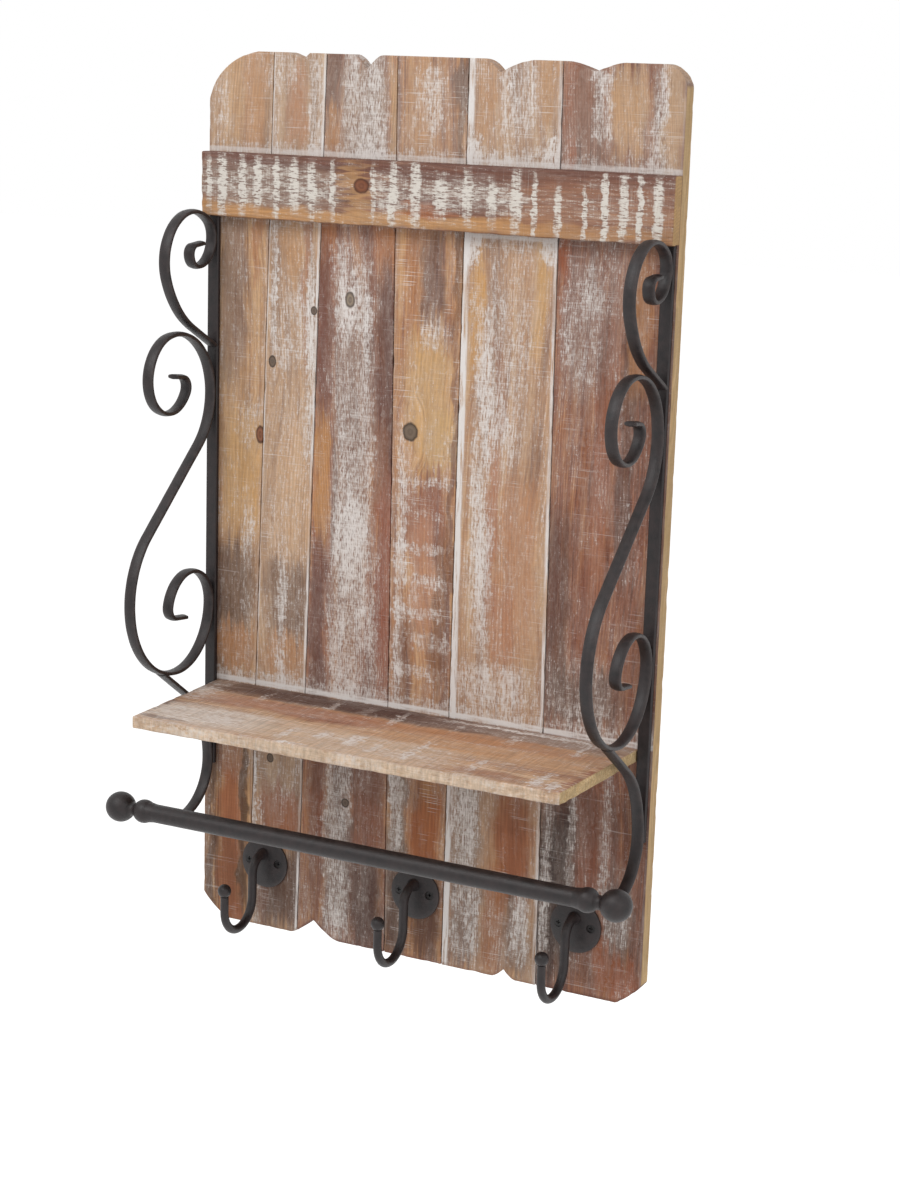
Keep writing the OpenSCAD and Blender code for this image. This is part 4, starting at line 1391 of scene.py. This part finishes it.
@dataclass
class Bracket:
    """One scrolled bracket of flat bar, seen from its side.

    Distances are in front of the planks' face and heights over the keyholes, in millimetres.

    Attributes:
        side: Which bracket it is.
        iron: Its material.
        centre: Distance of the bracket from the middle of the board.
        bar: The flat bar.
        ease: Length over which the end of a bar is eased.
        eased: Size of the eased end.
        scroll_drop: Depth under the keyholes at which the upper scroll touches the strap.
        scroll_up: Its steps upwards from there, before its leg.
        scroll_down: Its steps downwards.
        ess_drop: Depth at which the S scroll touches the strap.
        ess_top: Its steps upwards.
        ess_limbs: Its steps downwards to its belly.
        belly: Its belly.
        ess_curl: Its curl at the foot.
        brace_drop: Depth at which the lower bar touches the strap.
        brace_up: Radius of its bend out of the strap upwards.
        brace_bite: How far the brace would cut into the belly at its middle.
        brace_low: Radius of its bend out of the strap downwards.
        rail: Distance and height of the rail's axis.
        spare: Length by which the upper scroll's leg and the brace are too long at first.
        bite: How deep the end of each then lies in the bar that it meets.
        marks: Depth of the hammer marks.
    """

    side: Side
    iron: bpy.types.Material
    centre: float = BRACKET_AT
    bar: FlatBar = field(default_factory=FlatBar)
    ease: float = 0.7
    eased: float = 0.8
    scroll_drop: float = 45.0
    scroll_up: tuple[Step, ...] = ((18, -52), (40, -150), (82, -40))
    scroll_down: tuple[Step, ...] = ((23.5, 90), (11, 90), (7, 84), (12, 0))
    ess_drop: float = 178.0
    ess_top: tuple[Step, ...] = ((55, -102), (36.5, -68), (30, -160), (9.5, -114), (12, 0))
    ess_limbs: tuple[Step, ...] = ((58, 48.5), (102, 0), (76, -48.5))
    belly: Step = (69.5, -88)
    ess_curl: tuple[Step, ...] = ((32.5, -167), (10, -97), (16, 0))
    brace_drop: float = 506.5
    brace_up: float = 80.0
    brace_bite: float = 4.2
    brace_low: float = 43.0
    rail: Point2 = (106.0, -529.5)
    spare: Point2 = (2.0, 5.0)
    bite: Point2 = (0.4, 1.2)
    marks: float = 0.09

    @property
    def touch(self) -> float:
        """Distance to the middle of a bar that lies against the strap."""
        return 1.5 * self.bar.thickness

    def build(self) -> None:
        """Builds and dresses the bracket's three bent bars."""
        self._upper_scroll()
        hub = self._s_scroll()
        self._lower_bar(hub)

    def _piece(self, name: str, way: Sequence[Frame2],
               trim: Callable[[np.ndarray], np.ndarray] | None = None) -> None:
        """Makes one bent bar.

        Args:
            name: Name of the bar without its side.
            way: Its frames.
            trim: Moves points that the next bar's surface would hide.
        """
        section, worn = self.bar.section()
        way = [way[0], stride((self.ease, 0.0), way[0]), *way[1:-1],
               stride((-self.ease, 0.0), way[-1]), way[-1]]
        scale = np.ones(len(way))
        scale[[0, -1]] = self.eased
        points, faces = sweep(way, section, scale)
        key = self.side.name.lower()
        seed = 5.0 + 20.0 * self.side.value + len(name)
        dimple = self.marks * (1 + dents(points, (9, 11, 11), seed))
        middle = np.repeat(np.array([[0.0, f[0], f[1]] for f in way]), len(section), axis=0)
        inward = middle - points
        inward[:, 0] *= self.bar.thickness / self.bar.width
        inward /= np.maximum(np.linalg.norm(inward, axis=1, keepdims=True), 1e-6)
        points = points + inward * dimple[:, None]
        if trim is not None:
            points = trim(points)
        real = on_face(points[:, 0] + self.side.value * self.centre, points[:, 1],
                       points[:, 2])
        mesh_piece(f"{key}_{name}_bar", real, faces, self.iron, [f"{key}_{name}"],
                   {"worn": np.tile(worn, len(way))}, crease=50.0)

    def _upper_scroll(self) -> None:
        """The upper scroll, whose leg ends flush on the strap."""
        at = (self.touch, -self.scroll_drop)
        end = walk(self.scroll_up, (*at, 90.0))[-1]
        lean = math.radians(end[2])
        leg = (end[0] - self.bar.thickness) / -math.cos(lean) + self.spare[0]
        way = both_ways([*self.scroll_up, (leg, 0.0)], self.scroll_down, at)
        floor = self.bar.thickness - self.bite[0]

        def trim(points: np.ndarray) -> np.ndarray:
            """Keeps the leg's end just inside the strap."""
            points[:, 1] = np.maximum(points[:, 1], floor)
            return points

        self._piece("upper_scroll", way, trim)

    def _s_scroll(self) -> Point2:
        """The long S scroll.

        Returns:
            The hub of its belly, which the brace below it leans on.
        """
        at = (self.touch, -self.ess_drop)
        front = walk(self.ess_limbs, (*at, -90.0))[-1]
        radius, turn = self.belly
        c = math.cos(math.radians(turn))
        foot = (front[0] - self.touch - radius * (1 - c)) / (1 + c)
        loop = [self.belly, (foot, -turn - 180), *self.ess_curl]
        self._piece("s_scroll", both_ways(self.ess_top, [*self.ess_limbs, *loop], at))
        return (front[0] - radius, front[1])

    def _lower_bar(self, hub: Point2) -> None:
        """The brace under the S scroll and the foot that carries the towel rail.

        Args:
            hub: The hub of the S scroll's belly.
        """
        at = (self.touch, -self.brace_drop)
        outer = self.belly[0] + self.bar.thickness / 2
        aside = outer - self.brace_bite
        to = (hub[0] - at[0] - self.brace_up, hub[1] - at[1])
        lean = (math.degrees(math.acos(-(self.brace_up + aside) / math.hypot(*to)))
                - math.degrees(math.atan2(to[1], to[0])))
        start = stride((self.brace_up, -lean), (*at, 90.0))
        a = math.radians(lean)
        along = (hub[0] - start[0]) * math.sin(a) + (hub[1] - start[1]) * math.cos(a)
        length = along - math.sqrt(outer ** 2 - aside ** 2) + self.spare[1]
        swing = stride((self.brace_low, 90.0), (*at, -90.0))
        out, rise = self.rail[0] - swing[0], self.rail[1] - swing[1]
        bend = (math.hypot(out, rise) ** 2 / (2 * rise), 2 * math.degrees(math.atan2(rise, out)))
        way = both_ways([(self.brace_up, -lean), (length, 0.0)],
                        [(self.brace_low, 90.0), bend], at)
        hidden = outer - self.bite[1]

        def trim(points: np.ndarray) -> np.ndarray:
            """Copes the brace's end to the belly of the S scroll.

            Args:
                points: The brace's points.

            Returns:
                The points, none of them inside the belly.
            """
            off = points[:, 1:] - np.array(hub)
            far = np.linalg.norm(off, axis=1)
            push = np.where(far < hidden, hidden / np.maximum(far, 1e-6), 1.0)
            points[:, 1:] = np.array(hub) + off * push[:, None]
            return points

        self._piece("lower_bar", way, trim)


def lathe(profile: Sequence[Point2], sides: int, closed: bool
          ) -> tuple[np.ndarray, list[list[int]]]:
    """Turns a profile round an axis.

    Args:
        profile: Distances along the axis and radii.
        sides: Points on each circle.
        closed: Whether the profile is a ring of its own, as a tube's is.

    Returns:
        Points as (axis, across, up), and faces.
    """
    prof = np.array(profile, float)
    a = 2 * math.pi * np.arange(sides) / sides
    points = np.stack([np.repeat(prof[:, 0], sides), np.outer(prof[:, 1], np.cos(a)).ravel(),
                       np.outer(prof[:, 1], np.sin(a)).ravel()], axis=1)
    rows = len(prof)
    span = rows if closed else rows - 1
    faces = [[r * sides + j, (r + 1) % rows * sides + j,
              (r + 1) % rows * sides + (j + 1) % sides, r * sides + (j + 1) % sides]
             for r in range(span) for j in range(sides)]
    if not closed:
        faces.append(list(range(sides)))
        faces.append([(rows - 1) * sides + j for j in range(sides - 1, -1, -1)])
    return points, faces


@dataclass
class TowelRail:
    """The towel rail: a tube between two turned finials.

    Attributes:
        iron: Its material.
        axis: Distance of its axis from the wall and its height, in millimetres.
        centre: Distance of a bracket from the middle of the board.
        radius: Radius of the tube.
        wall: Wall of the tube.
        bead: Radius of the bead in the plane of a bracket.
        neck: Radius of the neck.
        ball: Radius of the ball.
        reach: Distance from bead to ball.
        taper: Length of the taper from the bead to the tube.
        spigot: Length of the spigot in the tube.
        sides: Points on each circle.
        marks: Depth of the uneven spots on the tube and on a finial.
    """

    iron: bpy.types.Material
    axis: Point2 = (132.0, -529.5)
    centre: float = BRACKET_AT
    radius: float = 8.0
    wall: float = 1.3
    bead: float = 10.3
    neck: float = 5.7
    ball: float = 13.2
    reach: float = 24.4
    taper: float = 11.0
    spigot: float = 14.0
    sides: int = 48
    marks: Point2 = (0.05, 0.07)

    def build(self) -> None:
        """Builds and dresses the tube and both finials."""
        self._tube()
        for side in Side:
            self._finial(side)

    def _place(self, points: np.ndarray, sign: int, start: float) -> np.ndarray:
        """Returns points of a turned piece where it belongs on the rail."""
        return np.stack([start + sign * points[:, 0], points[:, 1] - self.axis[0],
                         points[:, 2] + self.axis[1]], axis=1)

    def _tube(self) -> None:
        """The tube, slightly uneven from its lacquer."""
        half = self.centre - self.taper
        outer = [(x, self.radius) for x in np.linspace(-half, half, 120)]
        inner = [(half, self.radius - self.wall), (-half, self.radius - self.wall)]
        points, faces = lathe([*outer, *inner], self.sides, True)
        dip = self.marks[0] * (1 + dents(points, (14, 9, 9), 8.0))
        points[:, 1:] *= (1 - dip / self.radius)[:, None]
        mesh_piece("rail_tube", self._place(points, 1, 0.0), faces, self.iron,
                   ["towel_rail"], {"worn": np.zeros(len(points))})

    def _finial(self, side: Side) -> None:
        """One turned finial with its spigot inside the tube.

        Args:
            side: The end of the rail that it closes.
        """
        inside, root = self.radius - self.wall - 0.1, -self.taper - self.spigot
        profile: list[Point2] = [(root, 0.4), (root, inside), (-self.taper, inside),
                                 (-self.taper, self.radius)]
        # Bead and ball run into the neck where they are an eighth thicker than it
        waist = 1.12 * self.neck
        for a in np.linspace(math.acos(-0.5), math.asin(waist / self.bead), 15):
            profile.append((self.bead * math.cos(a), self.bead * math.sin(a)))
        first = math.pi - math.asin(waist / self.ball)
        here = profile[-1][0]
        there = self.reach + self.ball * math.cos(first)
        for share in (0.25, 0.5, 0.75):
            profile.append((here + (there - here) * share, self.neck))
        for a in np.linspace(first, 0.0, 27):
            profile.append((self.reach + self.ball * math.cos(a),
                            max(self.ball * math.sin(a), 0.15)))
        points, faces = lathe(profile, self.sides, False)
        dip = self.marks[1] * (1 + dents(points, (8, 8, 8), 18.0 + side.value))
        points[:, 1:] -= points[:, 1:] / 12 * dip[:, None]
        key, sign = side.name.lower(), side.value
        if sign < 0:
            faces = [f[::-1] for f in faces]
        mesh_piece(f"{key}_turned_finial", self._place(points, sign, sign * self.centre), faces,
                   self.iron, [f"{key}_finial"],
                   {"worn": np.zeros(len(points))})


@dataclass
class RobeHook:
    """A robe hook: a domed plate with two countersunk screws and a bent round arm.

    Attributes:
        name: Which hook it is.
        x: Its place across the board in millimetres.
        iron: Its material.
        z: Height of the middle of its plate.
        plate: Radius of the plate.
        dome: Height of the plate's middle.
        rim: Height of the plate's rim.
        rise: Height of the arm's root over the plate's middle.
        arm: Radius of the arm.
        collar: Radius of the collar at its root.
        path: The arm's steps from its root.
        ball: Radius of the ball on its tip.
        screw: Place of a screw from the plate's middle, and radius of its head.
        flare: Points of the arm over which its root draws in.
        tenon: Radius of its tenon in the plate.
        slim: Radius of the arm at the ball, as a share of its own.
        draw: How much the arm draws in on its way there, as a share of its radius.
        sides: Points on each circle of the arm.
        marks: Depth of the hammer marks on the plate and on the arm.
    """

    name: str
    x: float
    iron: bpy.types.Material
    z: float = -596.3
    plate: float = 23.2
    dome: float = 5.5
    rim: float = 2.0
    rise: float = 8.8
    arm: float = 4.0
    collar: float = 5.6
    path: tuple[Step, ...] = ((3, 0), (14, -90), (20, 0), (23, 180), (16, 0), (14, -12))
    ball: float = 6.0
    screw: tuple[float, float, float] = (15.0, 1.5, 3.85)
    flare: float = 3.0
    tenon: float = 3.4
    slim: float = 0.86
    draw: float = 0.12
    sides: int = 24
    marks: Point2 = (0.07, 0.06)

    def build(self) -> None:
        """Builds and dresses the plate and the arm."""
        self._plate()
        self._arm()

    def height(self, d: float) -> float:
        """Finds how high the plate's dome stands.

        Args:
            d: Distance from the plate's middle.

        Returns:
            Its height over the planks' face.
        """
        lift = self.dome - self.rim
        r = (self.plate ** 2 + lift ** 2) / (2 * lift)
        return self.dome - r + math.sqrt(r ** 2 - d ** 2)

    def _plate(self) -> None:
        """The plate: a turned disc with two countersunk holes cut into it."""
        profile: list[Point2] = [(0.0, 0.3), (0.0, self.plate - 0.4), (0.4, self.plate)]
        profile += [(self.rim - 0.7, self.plate), (self.rim - 0.2, self.plate - 0.25),
                    (self.rim + 0.1, self.plate - 0.9)]
        for k in range(1, 15):
            d = (self.plate - 0.9) * (1 - k / 14)
            profile.append((self.height(d), max(d, 0.3)))
        points, faces = lathe(profile, 72, False)
        dip = self.marks[0] * (1 + dents(points, (6, 8, 8), self.x))
        points[:, 0] = np.where(points[:, 0] > 0.6, points[:, 0] - dip, points[:, 0])
        real = on_face(self.x + points[:, 1], points[:, 0], self.z + points[:, 2])
        piece = mesh_piece(f"{self.name}_domed_plate", real, [f[::-1] for f in faces], self.iron,
                           [f"{self.name}_hook_plate"],
                           {"worn": np.clip((points[:, 1] ** 2 + points[:, 2] ** 2) ** 0.5
                                            - self.plate + 1.6, 0, 1)})
        self._sink(piece)

    def _sink(self, piece: bpy.types.Object) -> None:
        """Cuts the two countersunk holes.

        Args:
            piece: The plate.
        """
        dx, dz, head = self.screw
        for sign in (-1, 1):
            seat = self.height(math.hypot(dx, dz) + head)
            profile = [(-1.0, 0.05), (-1.0, head / 2), (seat - 2.1, head / 2), (seat, head),
                       (seat + 3, head), (seat + 3, 0.05)]
            points, faces = lathe(profile, 32, False)
            real = on_face(self.x + sign * dx + points[:, 1], points[:, 0],
                           self.z + dz + points[:, 2])
            mesh = bpy.data.meshes.new("cutter")
            mesh.from_pydata((real * MM).tolist(), [], [f[::-1] for f in faces])
            cutter = bpy.data.objects.new("cutter", mesh)
            bpy.context.scene.collection.objects.link(cutter)
            cut = piece.modifiers.new("sink", "BOOLEAN")
            cut.operation, cut.solver, cut.object = "DIFFERENCE", "EXACT", cutter
            bpy.context.view_layer.update()
            seen = piece.evaluated_get(bpy.context.evaluated_depsgraph_get())
            cut_mesh = bpy.data.meshes.new_from_object(seen)
            piece.modifiers.clear()
            piece.data = cut_mesh
            bpy.data.objects.remove(cutter)
        piece.data.set_sharp_from_angle(angle=math.radians(CREASE))

    def _arm(self) -> None:
        """The arm: collar, bent round bar and ball in one sweep."""
        root = (self.height(self.rise), self.z + self.rise, 0.0)
        bends = walk(self.path, root, 1.4)
        way: list[Frame2] = [(0.2, root[1], 0.0), (root[0], root[1], 0.0),
                             (root[0] + 0.1, root[1], 0.0), (root[0] + 1.6, root[1], 0.0)]
        size = [self.tenon, self.tenon, self.collar, self.collar * 0.96]
        meet = math.sqrt(self.ball ** 2 - (self.slim * self.arm) ** 2)
        end = bends[-1]
        for k, f in enumerate(bends[1:]):
            if math.hypot(f[0] - end[0], f[1] - end[1]) < meet:
                break
            radius = self.arm * (1 - self.draw * (k / len(bends)) ** 2)
            way.append(f)
            size.append(radius + (self.collar - self.arm) * math.exp(-k / self.flare))
        a = math.radians(end[2])
        for t in np.linspace(math.pi - math.asin(self.slim * self.arm / self.ball), 0.0, 17):
            off = self.ball * math.cos(t)
            way.append((end[0] + off * math.cos(a), end[1] + off * math.sin(a), end[2]))
            size.append(max(self.ball * math.sin(t), 0.1))
        turn = 2 * np.pi * np.arange(self.sides) / self.sides
        ring = np.stack([np.cos(turn), np.sin(turn)], axis=1)
        points, faces = sweep(way, ring, np.array(size))
        hammer = self.marks[1] * (1 + dents(points, (8, 8, 8), self.x + 3))
        middle = np.repeat(np.array([[0.0, f[0], f[1]] for f in way]), self.sides, axis=0)
        points += (middle - points) * (hammer / self.arm)[:, None]
        real = on_face(points[:, 0] + self.x, points[:, 1], points[:, 2])
        mesh_piece(f"{self.name}_bent_arm", real, faces, self.iron,
                   [f"{self.name}_hook_arm"], {"worn": np.zeros(len(points))}, crease=45.0)


@dataclass
class Studio:
    """Camera, lamps, floor and background, which aren't part of the object.

    Attributes:
        eye: Place of the camera in metres.
        yaw: Its turn from straight ahead in radians.
        pitch: Its tilt.
        roll: Its roll.
        lens: Focal length in millimetres on a 36 mm sensor.
        floor: Height of the floor in metres.
        sky: Level of the surrounding light.
        aim: Place that the lamps face in metres.
    """

    eye: tuple[float, float, float] = (0.8854, -1.7440, 0.1097)
    yaw: float = -0.46369
    pitch: float = -0.22629
    roll: float = 0.03126
    lens: float = 70.646
    floor: float = -1.25
    sky: float = 0.6
    aim: tuple[float, float, float] = (0.0, -0.05, -0.27)

    def build(self) -> None:
        """Builds the whole studio."""
        view = bpy.context.scene.view_settings
        view.view_transform = "Standard"
        self._camera()
        self._world()
        self._floor()
        self._lamp("key_lamp", (-0.8, -2.2, 2.1), 1.9, 48.0)
        self._lamp("fill_lamp", (2.4, -1.6, 0.8), 2.0, 15.0)

    def _camera(self) -> None:
        """The camera at the photograph's viewing angle."""
        ahead = Vector((math.sin(self.yaw) * math.cos(self.pitch),
                        math.cos(self.yaw) * math.cos(self.pitch), math.sin(self.pitch)))
        right = Vector((math.cos(self.yaw), -math.sin(self.yaw), 0.0))
        up = right.cross(ahead)
        c, s = math.cos(self.roll), math.sin(self.roll)
        right, up = right * c + up * s, up * c - right * s
        camera = bpy.data.cameras.new("camera")
        camera.lens, camera.sensor_width = self.lens, 36.0
        camera.clip_end = 100.0
        rig = bpy.data.objects.new("camera", camera)
        rig.matrix_world = (Matrix.Translation(self.eye)
                            @ Matrix((right, up, -ahead)).transposed().to_4x4())
        bpy.context.scene.collection.objects.link(rig)
        bpy.context.scene.camera = rig

    def _world(self) -> None:
        """White for the camera and for reflections, softer for the light it gives."""
        world = bpy.data.worlds.new("studio")
        bpy.context.scene.world = world
        g = Graph(world)
        seen = self._seen(g)
        level = g.add("MapRange", {"Value": seen, "To Min": self.sky, "To Max": 1.0})
        back = g.add("Background", {"Color": (1.0, 1.0, 1.0, 1.0), "Strength": level})
        g.add("OutputWorld", {"Surface": back})

    @staticmethod
    def _seen(g: Graph) -> Socket:
        """Finds the rays that see white.

        Args:
            g: The tree.

        Returns:
            1 for camera, glossy and transmission rays, and 0 for the light itself.
        """
        rays = g.add("LightPath").node.outputs
        some = g.add("Math", {0: rays["Is Camera Ray"], 1: rays["Is Glossy Ray"]},
                     operation="MAXIMUM")
        return g.add("Math", {0: some, 1: rays["Is Transmission Ray"]}, operation="MAXIMUM")

    def _floor(self) -> None:
        """A plain white floor that keeps the object's shadow."""
        size = 14.0
        mesh = bpy.data.meshes.new("floor")
        mesh.from_pydata([(-size, -size, self.floor), (size, -size, self.floor),
                          (size, size, self.floor), (-size, size, self.floor)], [], [(0, 1, 2, 3)])
        material = bpy.data.materials.new("white_floor")
        g = Graph(material)
        matt = g.add("BsdfDiffuse", {"Color": (0.9, 0.9, 0.9, 1.0)})
        glow = g.add("Emission", {"Color": (1.0, 1.0, 1.0, 1.0), "Strength": 0.5})
        lifted = g.add("AddShader", {0: matt, 1: glow})
        shown = g.add("MixShader", {0: self._seen(g), 1: matt, 2: lifted})
        g.add("OutputMaterial", {"Surface": shown})
        mesh.materials.append(material)
        ground = bpy.data.objects.new("floor", mesh)
        bpy.context.scene.collection.objects.link(ground)

    def _lamp(self, name: str, at: tuple[float, float, float], size: float,
              watts: float) -> None:
        """Hangs one soft lamp that faces the board.

        Args:
            name: Its name.
            at: Its place in metres.
            size: Its size in metres.
            watts: Its power.
        """
        light = bpy.data.lights.new(name, "AREA")
        light.shape, light.size, light.energy = "DISK", size, watts
        lamp = bpy.data.objects.new(name, light)
        turn = (Vector(self.aim) - Vector(at)).to_track_quat("-Z", "Y").to_matrix().to_4x4()
        lamp.matrix_world = Matrix.Translation(at) @ turn
        bpy.context.scene.collection.objects.link(lamp)


def main() -> None:
    """Builds the shelf piece by piece, then the studio."""
    logging.basicConfig(level=logging.INFO, format="%(name)s: %(message)s", force=True)
    iron, zinc, pine = LacqueredIron().make(), ZincPlate().make(), PlanedPine().make()
    PlankBoard().build()
    FrontBatten().build()
    ShelfBoard().build()
    for side in Side:
        Bracket(side, iron).build()
        dress(f"{side.name.lower()}_strap", iron)
        dress(f"{side.name.lower()}_hanger_plate", zinc)
    TowelRail(iron).build()
    for name, x in (("left", -150.0), ("centre", 2.0), ("right", 154.0)):
        RobeHook(name, x, iron).build()
    for node in ("upper_cleat", "lower_cleat"):
        dress(node, pine)
    # The hook screws are painted darker than the plates: painted shade in the countersinks round
    # them
    sunk = LacqueredIron("iron_painted_shade_countersinks", deep="#0D0A0A", high="#191414")
    dress("hook_screws", sunk.make())
    for node in ("strap_screws", "cleat_screws", "shelf_screws", "hanger_screws"):
        dress(node, zinc)
    Studio().build()


if __name__ == "__main__":
    main()
